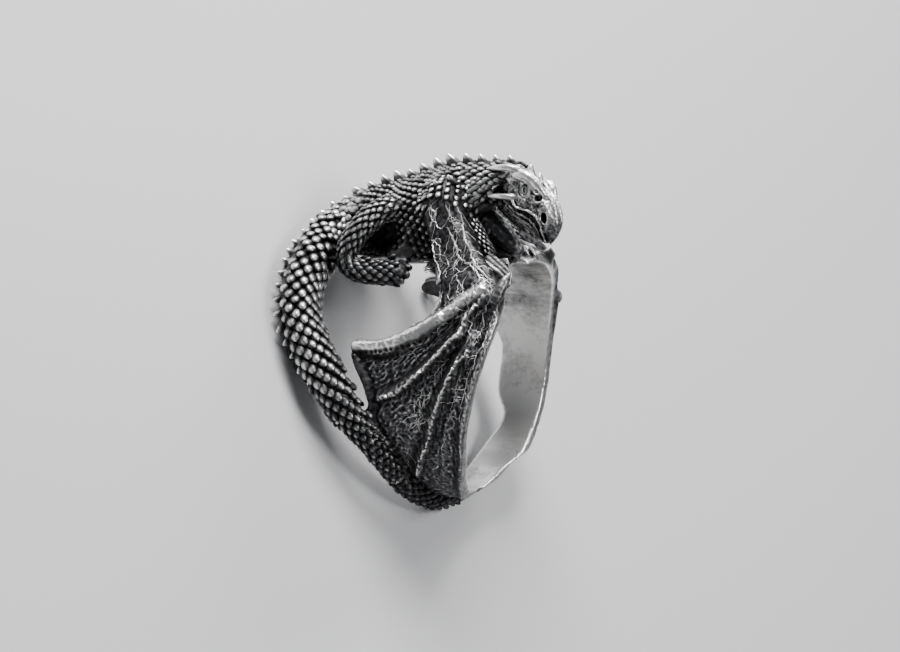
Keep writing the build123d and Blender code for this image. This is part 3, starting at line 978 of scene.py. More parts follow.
FORE_TOES = [
    [(17, -0.68, 1.8, 0.34), (20, -0.78, 1.8, 0.31), (21.5, -0.88, 1.5, 0.24), (22, -0.95, 1.0, 0.08)],
    [(20, -0.68, 1.9, 0.34), (23, -0.79, 1.8, 0.31), (24.5, -0.89, 1.5, 0.24), (25, -0.96, 1.0, 0.08)],
    [(23, -0.68, 1.9, 0.34), (26, -0.80, 1.8, 0.31), (27.5, -0.90, 1.5, 0.24), (28, -0.97, 1.0, 0.08)],
]
FAR_HAND = [
    [(21, -0.41, 1.8, 0.42), (15, -0.60, 1.4, 0.32), (8, -0.76, 1.0, 0.28), (2, -0.88, 0.6, 0.10)],
    [(23, -0.46, 1.9, 0.42), (17, -0.66, 1.5, 0.32), (11, -0.82, 1.1, 0.28), (6, -0.94, 0.6, 0.10)],
    [(25, -0.52, 2.0, 0.42), (20, -0.72, 1.6, 0.32), (15, -0.88, 1.1, 0.28), (10, -0.98, 0.6, 0.10)],
]
THUMBS = [
    (1, [(43, -0.91, 1.2, 0.60), (39, -0.96, 1.6, 0.62), (35, -1.00, 1.95, 0.42), (31.5, -1.035, 2.15, 0.24),
         (29, -1.06, 2.2, 0.05)]),
    (-1, [(54, -0.80, 0.9, 0.45), (60, -0.82, 1.1, 0.45), (65, -0.82, 1.4, 0.28), (69, -0.80, 1.6, 0.06)]),
]
BREAST = [(0, -0.42, 3.6, 1.35), (0, -0.58, 2.9, 1.25), (0, -0.72, 2.0, 1.05), (0, -0.84, 1.2, 0.70)]
LIMBS = [
    *THUMBS,
    *[(side, rows) for side in (1, -1) for rows in (HIND_LEG, HEEL_WEB, *HIND_TOES)],
    *[(1, rows) for rows in FORE_TOES],
    *[(-1, rows) for rows in FAR_HAND],
    (1, BREAST),
]


def wax_limb(rows, side):
    """A thread with a ball at its end, so that it ends round."""
    points = path_over(rows, side)
    return [wax_thread(points, [row[3] for row in rows]), wax_ball(points[-1], [rows[-1][3]] * 3)]


limbs = [part for side, rows in LIMBS for part in wax_limb(rows, side)]
legs = join_wax(limbs, "legs_and_claws", voxel=0.085, rounds=2)
rough = points_of(legs)
move_points(legs, rough + normals_of(legs) * 0.035 * turbulence(rough * (1, 0.6, 1), 0.28, 21)[:, :1])
places = folded(points_of(legs))
# Painted shade: the legs darken round the hollow behind each thigh.
hollow_shade = close_to(places, hollow, 1.6, 3.4)
on_foot = close_to(places, np.vstack([path_over(rows) for rows in HIND_TOES]), 0.8, 1.6)
keep_wear_and_light(legs, 0.25 + 7.0 * proud(legs, 6) + 2.0 * proud(legs, 24) - 0.35 * hollow_shade - 0.16 * on_foot)
print("legs, toes and claws:", len(legs.data.polygons), "faces")

# What is left of the casting's own hind toes is pushed back inside these.
TOE_ROOT = 1.8
OLD_HIND_TOES = np.array([(-6.0, 1.6, 9.6), (-5.85, 0.7, 9.75)])
places = points_of(skin)
poking = (distance_to(folded(places), OLD_HIND_TOES) < 0.9) & (off_axis(places) > FINGER + 0.5)
poking &= (places[:, 1] > 0.45) & (places[:, 1] < TOE_ROOT)
places[poking, 1] = TOE_ROOT + 0.05 * (TOE_ROOT - places[poking, 1])
move_points(skin, places)

# %% [markdown]
# The tail carries the largest scales of the ring, in rings right round it, and the trunk has finer ones over
# the back and flanks. The casting's own tail scales are coarse, so they are drawn in first and the tiles
# take their place. Each scale differs a little in size and set, because wax tiles are laid by hand.

# %% Scales of the tail and the trunk
# Columns: degrees, share of the reach, then lift and radius as shares of the tail's own.
TAIL_LIFT, TAIL_RADIUS = 1.85, 1.6
TAIL = [
    (0, 0.86, 1.75, 1.36), (1, 1.05, 1.46, 1.26), (7, 1.24, 1.05, 1.16), (18, 1.33, 0.92, 1.08),
    (33, 1.33, 1.00, 1.02), (48, 1.33, 1.00, 1.00), (62, 1.22, 0.96, 1.00), (77, 0.98, 0.92, 0.96),
    (90, 0.72, 0.84, 0.87), (101, 0.54, 0.71, 0.68), (112, 0.35, 0.64, 0.60), (127, 0.21, 0.58, 0.54),
    (143, 0.09, 0.54, 0.52), (160, -0.03, 0.53, 0.51), (180, -0.12, 0.50, 0.48),
]
# Columns: share of the reach, then height, half depth and half width as shares of the body's own.
BODY_HEIGHT, BODY_DEEP, BODY_WIDE = 8.4, 4.2, 3.4
TRUNK = [
    (-0.60, 1.00, 0.46, 0.56), (-0.44, 1.00, 0.72, 0.78), (-0.20, 0.98, 0.96, 1.00),
    (0.08, 0.91, 1.00, 1.04), (0.40, 0.79, 0.93, 1.10), (0.70, 0.71, 0.80, 1.06),
    (0.96, 0.61, 0.64, 0.84), (1.17, 0.49, 0.48, 0.60),
]
tail_path = path_over([(degrees, along, TAIL_LIFT * lift) for degrees, along, lift, _ in TAIL])
tail_radii = np.array([TAIL_RADIUS * share for *_, share in TAIL])


def flatten_tail(points):
    """Draws the casting's own coarse scales in to the tail's round surface, to make room for the tiles."""
    scaly = tail_path[3:12]
    middles, _, radii = smooth_path(scaly, tail_radii[3:12], 0.1)
    new = points.copy()
    near_tail = np.where(distance_to(points, scaly) < 2.2)[0]
    away = points[near_tail][:, None, :] - middles[None]
    far = np.linalg.norm(away, axis=2)
    closest = far.argmin(axis=1)
    rows = np.arange(len(near_tail))
    distance, radius = far[rows, closest], radii[closest]
    proud_of_it = (distance > radius) & (distance < radius + 0.3)
    pulled = middles[closest] + away[rows, closest] / distance[:, None] * radius[:, None]
    new[near_tail[proud_of_it]] = pulled[proud_of_it]
    return new


move_points(skin, flatten_tail(points_of(skin)))
tree = skin_tree(legs)


def scales_on_limb(middles, forwards, top, wides, deeps, width, reach_out, start, end):
    """Rings of scales at every middle point, each ring shifted by half a scale.

    A scale is looked for from reach_out above the limb, and between start and end degrees from its top.
    """
    found = []
    tops = np.broadcast_to(np.array(top, float), middles.shape)
    widths = np.broadcast_to(width, len(middles))
    limb = zip(middles, forwards, tops, wides, deeps, widths)
    for number, (middle, forward, top, wide, deep, width) in enumerate(limb):
        top = top - forward * top.dot(forward)
        top = top / np.linalg.norm(top)
        shift = 0.5 * (number % 2)
        found += ring_of_scales(middle, forward, top, wide, deep, width, shift, reach_out, tree, start, end)
    return found


def stamp_scales(name, found, size, tone, seed):
    """Stamps the scales that were found, except in the finger hole, each a little different.

    Size is the share of a scale's room that it fills across, along and outwards, tone how bright its painted
    light and shade make it.
    """
    chance = np.random.default_rng(seed)
    found = [scale for scale in found if math.hypot(scale[0][0], scale[0][2]) > FINGER + 0.45]
    places, outs, widths, backs = (np.array(column) for column in zip(*found))
    count = len(found)
    sizes = np.stack([
        size[0] * widths, size[1] * widths * chance.uniform(0.92, 1.08, count),
        size[2] * widths * chance.uniform(0.85, 1.15, count),
    ], axis=1)
    outs = outs + chance.normal(0, 0.05, outs.shape)
    backs = backs + chance.normal(0, 0.06, outs.shape)
    # Painted light and shade by place, times a random tone of each scale.
    brightness = tone(places) * chance.uniform(0.8, 1.2, count)
    return stamp_out(name, scale_stamp, places, outs, backs, sizes, brightness)


# Painted light from above: the tail's scales are darker the lower they lie.
def tail_light_from_above(places):
    return np.interp(places[:, 2], [-10, -6, 2, 8], [0.38, 0.52, 0.68, 0.82])


middles, ways, thick = smooth_path(tail_path, tail_radii, 0.56)
widths = np.clip(0.62 * thick, 0.56, 1.0)
found = scales_on_limb(
    middles, ways, (0, 1.0, 0.8), thick, thick, widths, reach_out=1.6, start=20, end=180,
)
tail_scales = stamp_scales("tail_scales", found, (0.95, 1.12, 0.85), tail_light_from_above, seed=3)

HOLLOW = on_finger(16, 0.62, 3.0)


def from_hollow(points, stretch=1.0):
    """Distance of each point from the hollow behind the thigh of its side."""
    return np.linalg.norm((folded(points) - HOLLOW) / (1.0, stretch, 1.0), axis=1)


def body_light_and_shade(places):
    """Painted light and shade: the back is lit most, the flank less, and the hollow behind each thigh is in
    shade.
    """
    tone = np.interp(places[:, 2], [FINGER + 1.5, FINGER + 4, FINGER + 7.5], [0.52, 0.60, 0.74])
    return tone * (0.55 + 0.45 * ease(from_hollow(places), 1.3, 3.2))


trunk_rows = np.array(TRUNK)
half_deep = trunk_rows[:, 2] * BODY_DEEP
trunk = np.stack([
    np.zeros(len(TRUNK)), trunk_rows[:, 0] * REACH, FINGER + trunk_rows[:, 1] * BODY_HEIGHT - half_deep,
], axis=1)
middles, ways, deep = smooth_path(trunk, half_deep, 0.53)
wide = np.interp(middles[:, 1], trunk[:, 1], trunk_rows[:, 3] * BODY_WIDE)
found = scales_on_limb(middles, ways, (0, 0, 1), wide, deep, 0.65, reach_out=1.2, start=9, end=150)
found = [scale for scale in found if from_hollow(scale[0][None], 1.25)[0] > 1.35]
body_scales = stamp_scales("body_scales", found, (0.86, 0.92, 0.85), body_light_and_shade, seed=4)

# %% [markdown]
# The head is where everyone looks, so it gets a mesh of its own, modelled in its own frame: X runs forwards
# from the skull to the beak, Y to the far side and Z up. Lumps make the skull and the jaw, threads make the
# brows, lids, lips and horns, and the sockets, nostrils and mouth are pressed in afterwards, point by point.

# %% The dragon's skull, brows, horns and lips
SKULL = [
    (-1.0, -0.05, 2.7, 2.9), (0.0, 0.08, 3.2, 3.0), (0.8, 0.22, 3.40, 2.9), (1.6, 0.32, 3.35, 2.85),
    (2.4, 0.42, 3.00, 2.60), (3.1, 0.46, 2.60, 2.35), (3.8, 0.44, 2.35, 2.20), (4.5, 0.22, 2.15, 2.10),
    (5.1, -0.02, 1.85, 1.95), (5.6, -0.36, 1.35, 1.75), (5.92, -0.85, 0.80, 1.15), (6.05, -1.25, 0.32, 0.45),
]
JAW = [
    (0.2, -1.20, 2.7, 1.50), (1.2, -1.28, 2.65, 1.35), (2.2, -1.22, 2.40, 1.25), (3.2, -1.08, 2.05, 1.15),
    (4.2, -1.10, 1.65, 1.00), (5.0, -1.35, 1.15, 0.70), (5.5, -1.58, 0.50, 0.38),
]
THROAT = [(-0.8, 0, -1.5), (0.8, 0.05, -1.75), (2.4, 0.15, -1.80), (3.8, 0.2, -1.75), (4.9, 0.2, -1.72)]
# Each thread: points forwards, sideways and up in millimetres, then its thickness at each point.
BROW = [
    (-0.1, 1.38, 0.9), (0.35, 1.45, 1.38), (1.1, 1.32, 1.78), (2.0, 1.12, 1.80), (2.75, 0.92, 1.66),
    (3.3, 0.76, 1.52),
]
BROW_EDGE = [(0.2, 1.72, 1.05), (0.9, 1.70, 1.40), (1.8, 1.50, 1.45), (2.5, 1.22, 1.30), (3.0, 1.02, 1.10)]
UPPER_HORN = [
    (0.2, 1.55, 1.62), (-0.13, 1.85, 1.60), (-0.80, 2.20, 1.02), (-1.35, 2.40, 0.48), (-1.85, 2.45, -0.02),
]
LOWER_HORN = [
    (1.45, 1.45, -0.30), (0.95, 1.92, -0.66), (0.0, 2.12, -1.46), (-0.5, 2.14, -1.88), (-1.05, 2.15, -2.34),
]
LIP = [
    (1.22, 1.72, -0.66), (1.5, 1.76, -0.48), (1.8, 1.70, -0.70), (2.1, 1.56, -0.84), (2.55, 1.42, -0.60),
    (3.0, 1.27, -0.38), (3.5, 1.14, -0.26), (3.95, 1.05, -0.27), (4.5, 0.93, -0.52), (5.1, 0.66, -1.05),
    (5.7, 0.15, -1.58),
]
JAW_LIP = [
    (1.35, 1.42, -1.15), (2.1, 1.36, -1.25), (2.9, 1.12, -1.02), (3.7, 0.94, -0.88), (4.5, 0.78, -1.05),
    (5.2, 0.48, -1.42),
]
JAW_FOLD = [(1.1, 1.30, -1.50), (2.0, 1.18, -1.60), (3.0, 0.94, -1.42), (4.0, 0.76, -1.36)]
NOSE = [
    (3.0, 0.30, 1.62), (3.7, 0.34, 1.50), (4.4, 0.36, 1.20), (5.0, 0.35, 0.80), (5.5, 0.30, 0.25),
    (5.8, 0.20, -0.35),
]
NOSTRIL_RIDGE = [
    (3.35, 0.86, 1.10), (3.9, 0.84, 1.05), (4.5, 0.82, 0.72), (5.0, 0.74, 0.20), (5.15, 0.62, -0.35),
    (5.1, 0.55, -0.9),
]
NOSTRIL_BACK = [(3.7, 0.98, 0.75), (3.95, 1.02, 0.15), (4.35, 1.00, -0.25), (4.85, 0.88, -0.62)]
CHEEK_BONE = [(2.45, 1.40, 0.30), (2.9, 1.22, 0.42), (3.3, 1.08, 0.75)]
FAR_BROW = [(0.9, 1.15, 1.15), (1.45, 1.10, 1.64), (2.2, 1.02, 1.74), (2.9, 0.95, 1.50), (3.4, 0.80, 1.10)]
FAR_HORN = [(0.0, 1.20, 0.85), (-0.8, 1.50, 0.30), (-1.5, 1.70, -0.30)]
CREST = [
    [(-0.45, 0, 0.70), (-0.82, 0, 1.12), (-1.10, 0, 1.32)],
    [(0.60, 0, 1.36), (0.28, 0, 1.86), (0.0, 0, 2.16)],
    [(1.72, 0, 1.48), (1.42, 0, 1.94), (1.14, 0, 2.26)],
]
NEAR, FAR = -1, 1
BOTH = (NEAR, FAR)
THREADS = [
    (BROW, [0.40, 0.54, 0.52, 0.44, 0.36, 0.24], (NEAR,)),
    (BROW_EDGE, [0.22, 0.24, 0.22, 0.20, 0.14], (NEAR,)),
    (FAR_BROW, [0.20, 0.38, 0.42, 0.36, 0.22], (FAR,)), (FAR_HORN, [0.32, 0.26, 0.05], (FAR,)),
    (UPPER_HORN, [0.34, 0.35, 0.31, 0.22, 0.05], (NEAR,)), (LOWER_HORN, [0.34, 0.28, 0.23, 0.15, 0.05], BOTH),
    (LIP, [0.10, 0.12, 0.12, 0.11, 0.11, 0.11, 0.11, 0.11, 0.11, 0.12, 0.11], BOTH),
    (JAW_LIP, [0.12, 0.13, 0.12, 0.11, 0.11, 0.10], BOTH), (JAW_FOLD, [0.10, 0.12, 0.11, 0.08], BOTH),
    (NOSE, [0.16, 0.22, 0.24, 0.24, 0.22, 0.16], BOTH),
    (NOSTRIL_RIDGE, [0.14, 0.17, 0.17, 0.17, 0.15, 0.08], BOTH),
    (NOSTRIL_BACK, [0.10, 0.13, 0.13, 0.08], BOTH), (CHEEK_BONE, [0.12, 0.18, 0.14], BOTH),
]
# Each swelling: its middle and its three half sizes, for the bumps on the snout and jaw and the two cheeks.
SWELLINGS = [
    ((3.35, 0.52, 1.50), (0.30, 0.24, 0.26)), ((0.75, 1.58, -0.05), (0.40, 0.26, 0.36)),
    ((2.0, 1.08, -0.05), (1.0, 0.62, 0.62)), ((2.9, 0.82, 0.15), (1.0, 0.50, 0.60)),
]

head_parts = [wax_lump(SKULL), wax_lump(JAW), wax_thread(THROAT, [1.15, 1.05, 0.86, 0.64, 0.34])]
for points, radii, sides in THREADS:
    head_parts += [wax_thread([(x, side * y, z) for x, y, z in points], radii) for side in sides]
head_parts += [wax_ball((x, side * y, z), size) for side in BOTH for (x, y, z), size in SWELLINGS]
head_parts += [wax_thread(spike, [0.52, 0.36, 0.10]) for spike in CREST]
head = join_wax(head_parts, "dragon_head", voxel=0.055, rounds=2)
print("the head has", len(head.data.polygons), "faces")

# %% [markdown]
# What is hollow is pressed in like a modelling tool would: every point inside an oval is moved inwards, the
# most in its middle. The eye socket and nostril are such ovals, the mouth is a groove just under the lip,
# and a fine noise over all of it leaves the bony skin of the original.

# %% Press in the sockets, nostrils and mouth
OUTWARD = np.array((0.12, 0.97, 0.20))
UPRIGHT = np.array((-0.69, 0.0, 0.72))
FORWARDS = np.array((0.72, 0.0, 0.69))
EYE = np.array((1.70, 1.47, 0.78))
NOSTRIL = np.array((4.52, 0.96, 0.18))
# Each hollow: its middle, half its height, half its length and its depth.
PRESSED = [
    (EYE, 0.80, 0.62, 0.34), (NOSTRIL, 0.54, 0.31, 0.55), (np.array((3.05, 1.05, 1.05)), 0.34, 0.34, 0.24),
    (np.array((2.6, 1.10, 1.42)), 0.22, 0.20, 0.14), (np.array((3.5, 1.0, 0.60)), 0.22, 0.20, 0.10),
]
# Each polished form: its middle line, how far the polish reaches, and how bright it is.
POLISHED = [
    (UPPER_HORN, 0.55, 0.80), (LOWER_HORN, 0.45, 0.50), (NOSE, 0.7, 0.42), (LIP, 0.20, 0.35),
    (NOSTRIL_RIDGE, 0.35, 0.30), *[(spike, 0.55, 0.55) for spike in CREST],
]


def press(points, centre, high, long, depth, side):
    """How deep each point lies in an oval hollow, from nought to its depth."""
    mirror = np.array((1, side, 1))
    away = (points - centre * mirror) * mirror
    oval = np.hypot(away @ UPRIGHT / high, away @ FORWARDS / long)
    return depth * (1 - ease(oval, 0.45, 1.0)) * (np.abs(away @ OUTWARD) < 0.9)


points = points_of(head)
depths = np.zeros(len(points))
brights = np.zeros(len(points))
for side in BOTH:
    mirror = np.array((1, side, 1))
    moved = np.zeros(len(points))
    for centre, high, long, depth in PRESSED:
        moved = np.maximum(moved, press(points, centre, high, long, depth, side))
    under_lip = np.array(LIP[2:]) * mirror - (0, 0, 0.24)
    under_jaw = np.array(JAW_LIP) * mirror - (0, 0, 0.22)
    groove = 0.26 * close_to(points, under_lip, 0.06, 0.20)
    groove = np.maximum(groove, 0.13 * close_to(points, under_jaw, 0.04, 0.16))
    depths += moved + groove
    points = points - (moved + groove)[:, None] * (OUTWARD * mirror)
    for path, reach, amount in ((BROW if side == NEAR else FAR_BROW, 0.75, 0.70), *POLISHED):
        close = close_to(points, np.array(path) * mirror, 0.5 * reach, reach)
        brights = np.maximum(brights, amount * close)
rough = 0.050 * turbulence(points, 0.17, 51)[:, 0] + 0.075 * turbulence(points, 0.45, 52)[:, 0]
smooth_parts = np.maximum(1 - brights / 0.5, 0.30)
pitted = 0.045 * turbulence(points, 0.24, 54)[:, 0] * ease(points[:, 0], 3.0, 3.9)
points = points + normals_of(head) * (rough * smooth_parts + pitted)[:, None]
move_points(head, points)
beak_tip = ease(points[:, 0], 4.9, 5.7) * (0.6 + 0.5 * turbulence(points, 0.5, 53)[:, 0])
shine = 0.36 + 7.0 * proud(head, 4) + 3.0 * proud(head, 20)
keep_wear_and_light(head, shine + 0.8 * brights - 1.6 * depths - 0.42 * beak_tip)
print("pressed in, mm:", round(float(depths.max()), 2), "at the deepest")

# %% [markdown]
# The eyes are balls with a slit for a pupil, each in two rings that make its lids. They are a piece of their
# own with a finer voxel than the head's, because the slit is narrower than the head's voxels would keep.

# %% The eyes and their lids
LID_POINTS = 14
eye_parts = []
for side in BOTH:
    mirror = np.array((1, side, 1))
    eye_parts.append(wax_ball(tuple((EYE - OUTWARD * 0.40) * mirror), (0.46, 0.40, 0.48)))
    for ring, thick, back_by in ((0.50, 0.075, 0.10), (0.66, 0.06, 0.06)):
        lid = [
            tuple((EYE - OUTWARD * back_by + UPRIGHT * ring * 1.12 * math.sin(a)
                   + FORWARDS * ring * 0.92 * math.cos(a)) * mirror)
            for a in np.linspace(0, 2 * math.pi, LID_POINTS, endpoint=False)
        ]
        eye_parts.append(wax_thread(lid, [thick] * LID_POINTS, closed=True))
eyes = join_wax(eye_parts, "dragon_eyes", voxel=0.035, rounds=1)
points = points_of(eyes)
slit = np.zeros(len(points))
for side in BOTH:
    pressed = press(points, EYE - OUTWARD * 0.1, 0.34, 0.10, 0.16, side)
    slit += pressed
    points = points - pressed[:, None] * OUTWARD * np.array((1, side, 1))
move_points(eyes, points)
keep_wear_and_light(eyes, 0.60 + 6.0 * proud(eyes, 6) - 3.5 * slit)
print("the eyes have", len(eyes.data.polygons), "faces")

# %% [markdown]
# The head turns a little down and towards the near side, over the front rim. One matrix puts it there, and
# its inverse says which points of the casting belong to the plain head, so that they can be drawn in under
# the new one.

# %% Set the head on the neck
head_turn = (
    Matrix.Rotation(math.radians(-113), 4, "Z") @ Matrix.Rotation(math.radians(35), 4, "Y")
    @ Matrix.Rotation(math.radians(-12), 4, "X")
)
head_place = Matrix.Translation(on_finger(0, -0.84, 0.82 * BODY_HEIGHT)) @ head_turn
for piece in (head, eyes):
    piece.data.transform(head_place)


def in_head_frame(points):
    return (np.array(head_place.inverted().to_3x3()) @ (points - np.array(head_place.translation)).T).T


def shrink_old_head(points):
    """Draws the casting's plain head in under the new one."""
    own = in_head_frame(points)
    on_head = (own[:, 0] > -0.4) & (own[:, 0] < 6.8) & (np.abs(own[:, 1]) < 3.0) & (np.abs(own[:, 2]) < 3.4)
    height = np.interp(own[:, 0], [0, 3, 5, 6], [-0.2, -0.1, -0.7, -1.3])
    middle = np.stack([own[:, 0], np.zeros(len(own)), height], axis=1)
    away = own - middle
    far = np.linalg.norm(away, axis=1)
    limit = np.interp(own[:, 0], [-0.4, 0.4, 3, 5, 5.8], [1.55, 1.3, 0.75, 0.45, 0.15])
    too_far = on_head & (far > limit)
    own[too_far] = middle[too_far] + away[too_far] / far[too_far, None] * limit[too_far, None]
    own[too_far, 0] = np.minimum(own[too_far, 0], 5.6)
    return (np.array(head_place.to_3x3()) @ own.T).T + np.array(head_place.translation)


move_points(skin, shrink_old_head(points_of(skin)))
tree = skin_tree(legs, head)
print("the head's middle, mm:", [round(v, 2) for v in head_place.translation])

# %% [markdown]
# The neck and the four legs carry the finest scales. They are found in the same way as those of the tail,
# with the new head and legs in the search tree, so that they lie on these too. A last patch of scales
# covers each shoulder, in rows along the back.

# %% Scales of the neck, the legs and the shoulders
# Columns of the neck: share of the reach, lift as a share of the body's, radius as a share of the neck's.
NECK_RADIUS = 1.8
NECK = [(-0.30, 0.72, 1.25), (-0.60, 0.79, 1.08), (-0.78, 0.81, 1.02), (-0.92, 0.82, 0.98)]
FORELEG = [(9, -0.40, 3.4, 0.82), (14, -0.56, 2.5, 0.68), (17, -0.68, 1.7, 0.58)]
SHOULDER_ROWS = (8.6, 10.0, 11.4, 12.9, 14.5)

neck_path = path_over([(0, along, BODY_HEIGHT * lift) for along, lift, _ in NECK])
middles, ways, thick = smooth_path(neck_path, np.array([NECK_RADIUS * share for *_, share in NECK]), 0.46)
found = scales_on_limb(middles, -ways, (0, 0, 1), thick, thick, 0.64, reach_out=0.9, start=10, end=150)
found = [scale for scale in found if in_head_frame(scale[0][None])[0, 0] < -0.45]
for side in (1, -1):
    for rows, step, width in ((HIND_LEG, 0.44, 0.60), (FORELEG, 0.34, 0.40)):
        middles, ways, thick = smooth_path(path_over(rows, side), np.array([row[3] for row in rows]), step)
        tops = middles * (1, 0, 1)
        found += scales_on_limb(middles, ways, tops, thick, thick, width, reach_out=0.7, start=0, end=180)
    for row, degrees in enumerate(SHOULDER_ROWS):
        out = on_finger(degrees, 0, 0, side) / FINGER
        way = np.array([-side * math.cos(math.radians(degrees)), 0.1, -0.9])
        for along in np.arange(-0.46 + 0.04 * row + 0.045 * (row % 2), 0.22 - 0.02 * row, 0.09):
            start = Vector(on_finger(degrees, along, HIGH, side))
            place, normal, _, _ = tree.ray_cast(start, Vector(-out), 8)
            if place is not None and math.hypot(place[0], place[2]) > FINGER + 5.2:
                found.append((np.array(place), 0.4 * out + 0.6 * np.array(normal), 0.46 + 0.06 * row, way))


def leg_light_and_shade(places):
    """Painted light and shade: bright high up on the shoulders and knees, darker lower down, under the neck
    and along the shins.
    """
    return np.interp(places[:, 2], [10, 14, 17], [0.48, 0.68, 0.82]) - 0.20 * ease(-places[:, 1], 4.6, 5.6)


leg_scales = stamp_scales("leg_scales", found, (0.90, 1.35, 0.80), leg_light_and_shade, seed=5)

# %% [markdown]
# A row of fins runs down the back from the skull to the tail. On the ring they are blunt sharks' fins that
# lean back, each about as tall as it is long, and polished bright at the tip. They stand at an even pitch
# along the spine, and a few more stand on the shoulders.

# %% Fins down the back
PITCH = 1.28
# Each shoulder fin: degrees, share of the reach, lift and size.
SHOULDER_FINS = [(12.0, -0.08, 7.3, 0.62), (10.4, -0.23, 7.6, 0.68), (9.6, 0.06, 6.9, 0.5)]
tail_side = tail_path[3:9] + tail_radii[3:9, None] * np.array((-0.58, 0.80, 0.20))
spine = np.vstack([path_over(SPINE[:8]), tail_side])
fin_places, fin_ways = [], []
beyond = 0.3
for start, end in zip(spine, spine[1:]):
    run = np.linalg.norm(end - start)
    while beyond < run:
        fin_places.append(start + (end - start) * beyond / run)
        fin_ways.append((end - start) / run)
        beyond += PITCH
    beyond -= run
on_spine = len(fin_places)
heights = np.array(fin_places)[:, 2]
fin_outs = list(np.stack([
    np.interp(heights, [12, 17], [-0.65, 0.0]), np.interp(heights, [10, 17], [1.0, 0.2]),
    np.interp(heights, [8, 15], [0.1, 1.0]),
], axis=1))
chance = np.random.default_rng(6)
shrink = list(chance.uniform(0.88, 1.12, on_spine) * np.interp(
    np.arange(on_spine), [0, 4, 15, 18, on_spine], [0.8, 1.05, 1.0, 0.85, 0.6],
))
for side in (1, -1):
    for degrees, along, lift, size in SHOULDER_FINS:
        fin_places.append(on_finger(degrees, along, lift, side))
        fin_ways.append(np.array((0, 1, 0)))
        fin_outs.append(np.array((-side * 0.45, -0.1, 0.9)))
        shrink.append(size)
fin_places, fin_ways, fin_outs = np.array(fin_places), np.array(fin_ways), np.array(fin_outs)
fin_outs = fin_outs - fin_ways * (fin_outs * fin_ways).sum(1)[:, None]
fin_outs = fin_outs / np.linalg.norm(fin_outs, axis=1)[:, None]
fin_sizes = np.array(shrink)[:, None] * (0.74, 1.50, 1.16)
fins = stamp_out(
    "back_fins", fin_stamp, fin_places - 0.10 * fin_outs, fin_outs, fin_ways, fin_sizes,
    np.full(len(fin_places), 1.15), from_height=0.35,
)

# %% [markdown]
# Now that the skin has its last shape, its wear and its painted light and shade can be worked out. What
# stands proud is bright, as on the other pieces, and the rest follows the photograph: bright bones on the
# wings with painted shade under them, painted shade in the hollow behind each thigh and towards the ring's
# bottom, dark skin under the scales, and a polished wall inside the finger hole with a painted reflection,
# brightest at its bottom.

# %% Blacken and polish the skin, and paint its light and shade
LIT_PATCH = [(74, 0.42), (68, 0.10), (60, -0.22)]
REAR_EDGE = [(72, 0.58), (78, 0.51), (84, 0.43), (93, 0.36), (100, 0.39)]
# For each of a wing's three bones: width and brightness of its polish, and how even that is.
BONE_POLISH = [(0.46, 0.92, 0.5), (0.22, 0.34, 0), (0.16, 0.14, 0)]

places, facing = points_of(skin), normals_of(skin)
out = off_axis(places)
wear_and_light = 0.22 + 9.0 * proud(skin, 4) + 4.0 * proud(skin, 24)
for side, bones in ((1, NEAR_BONES), (-1, FAR_BONES)):
    flat, _ = round_the_finger(places, side)
    on_wing = (flat[:, 0] > 0) & (out > BAND - 0.3) & (out < BAND + 1.5)
    patches = 0.7 + 0.6 * turbulence(flat, 0.5, 61)[:, 0]
    for rows, (width, amount, even) in zip(bones, BONE_POLISH):
        near_bone = ridge(distance_to(flat, unroll(rows)), width)
        wear_and_light += on_wing * amount * (even + (1 - even) * patches) * near_bone
    wear_and_light += on_wing * 0.13 * ridge(distance_to(flat, unroll(LIT_PATCH)), 1.5) * patches
    # Painted shade under the second and third bone of each wing.
    for rows in bones[1:]:
        under = ridge(distance_to(flat, moved_aside(unroll(rows), 0.85)), 0.60)
        wear_and_light *= 1 - on_wing * 0.50 * under
    if side == 1:
        wear_and_light *= 1 - on_wing * 0.60 * ridge(distance_to(flat, unroll(REAR_EDGE)), 1.1)
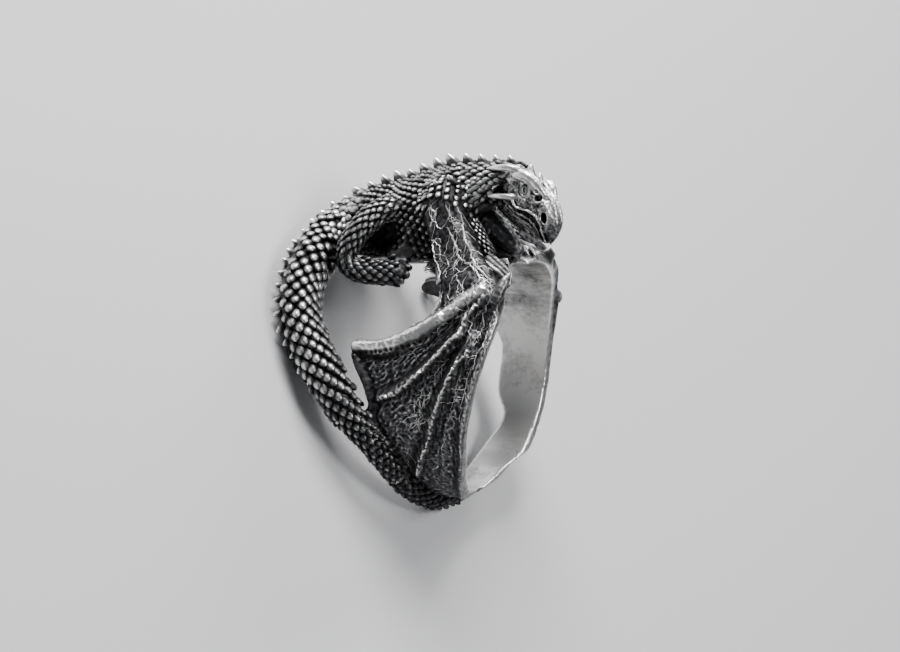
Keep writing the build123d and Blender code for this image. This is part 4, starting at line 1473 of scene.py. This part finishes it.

# Painted shade in the hollow behind each thigh.
wear_and_light -= 0.4 * close_to(folded(places), hollow, 0.8, 2.0)
on_trunk = ease(out, FINGER + 1.8, FINGER + 2.8) * (places[:, 1] > -5)
to_arms = np.minimum(distance_to(places, path_over(ARM, 1)), distance_to(places, path_over(ARM, -1)))
wear_and_light -= 0.22 * on_trunk * ease(to_arms, 1.6, 2.4)
wear_and_light -= 0.12 * (1 - ease(to_arms, 2.0, 2.8)) * (out > FINGER + 1.5)
# Painted shade: the outer surfaces darken towards the bottom of the upright ring.
wear_and_light -= 0.15 * (out > BAND - 0.3) * (1 - ease(places[:, 2], -6, -1))
front_face = ease(-facing[:, 1], 0.55, 0.8) * (places[:, 2] < 6) * (out < BAND + 0.9)
wear_and_light = np.maximum(wear_and_light, front_face * (0.44 + 0.15 * turbulence(places, 0.9, 62)[:, 0]))
hole_wall = (1 - ease(out, FINGER + 0.02, FINGER + 0.12)) * (1 - ease(places[:, 1], 1.5, 3.0))
# Painted reflection: the polished wall of the finger hole is brightest at its bottom and darker towards its
# top.
bore_reflection = np.interp(places[:, 2], [-9.5, -4, 3, 9.5], [1.15, 1.0, 0.76, 0.62])
wear_and_light = np.maximum(wear_and_light, hole_wall * bore_reflection)
inner_tip = (places[:, 0] > 2) * ease(places[:, 1], 2.2, 3.2) * (1 - ease(out, FINGER + 0.6, FINGER + 1.0))
wear_and_light = np.minimum(wear_and_light, 1.2 - 1.05 * inner_tip)
print("worn, from dark to bright:", np.round(np.percentile(wear_and_light, [5, 50, 95]), 2))

# %% [markdown]
# The skin has more faces now than it needs: flat places have as many as the wrinkled ones. A decimate
# modifier takes out those that matter least. The values of wear were worked out on the fine mesh, so each
# point that is left takes them over from the nearest point of before.

# %% Thin out the mesh of the skin
SKIN_TRIANGLES = 190000
share_left = SKIN_TRIANGLES / (2 * len(skin.data.polygons))
apply_modifier(skin, "DECIMATE", decimate_type="COLLAPSE", ratio=share_left)
nearest = KDTree(len(places))
for number, place in enumerate(places):
    nearest.insert(place, number)
nearest.balance()
source = np.array([nearest.find(place)[1] for place in points_of(skin)])
keep_wear_and_light(skin, wear_and_light[source])
keep_value(skin, "polished", hole_wall[source])
coat(skin)
shade_smooth(skin)
print("the skin now has", len(skin.data.polygons), "faces")

# %% [markdown]
# The ring stood upright in millimetres until now. Every piece is laid down into the casting's own place, and
# a point that rounding left under the table is lifted onto it. The skin takes the place of the casting, and
# all the pieces ride on the one body that the ring has.

# %% Lay the ring down and hand it over
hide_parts("dragon_ring")
pieces = [skin, vein_threads, legs, tail_scales, body_scales, leg_scales, fins, head, eyes]
for piece in pieces:
    piece.data.transform(lay_down)
for piece in pieces:
    placed = points_of(piece)
    placed[:, 2] = np.maximum(placed[:, 2], 0)
    move_points(piece, placed)
    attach(piece, "root")
dressed_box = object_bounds()
growth = [b - a for a, b in zip([*cad_box[0], *cad_box[1]], [*dressed_box[0], *dressed_box[1]])]
print("grown by, mm:", [round(distance * MM_PER_METRE, 2) for distance in growth])
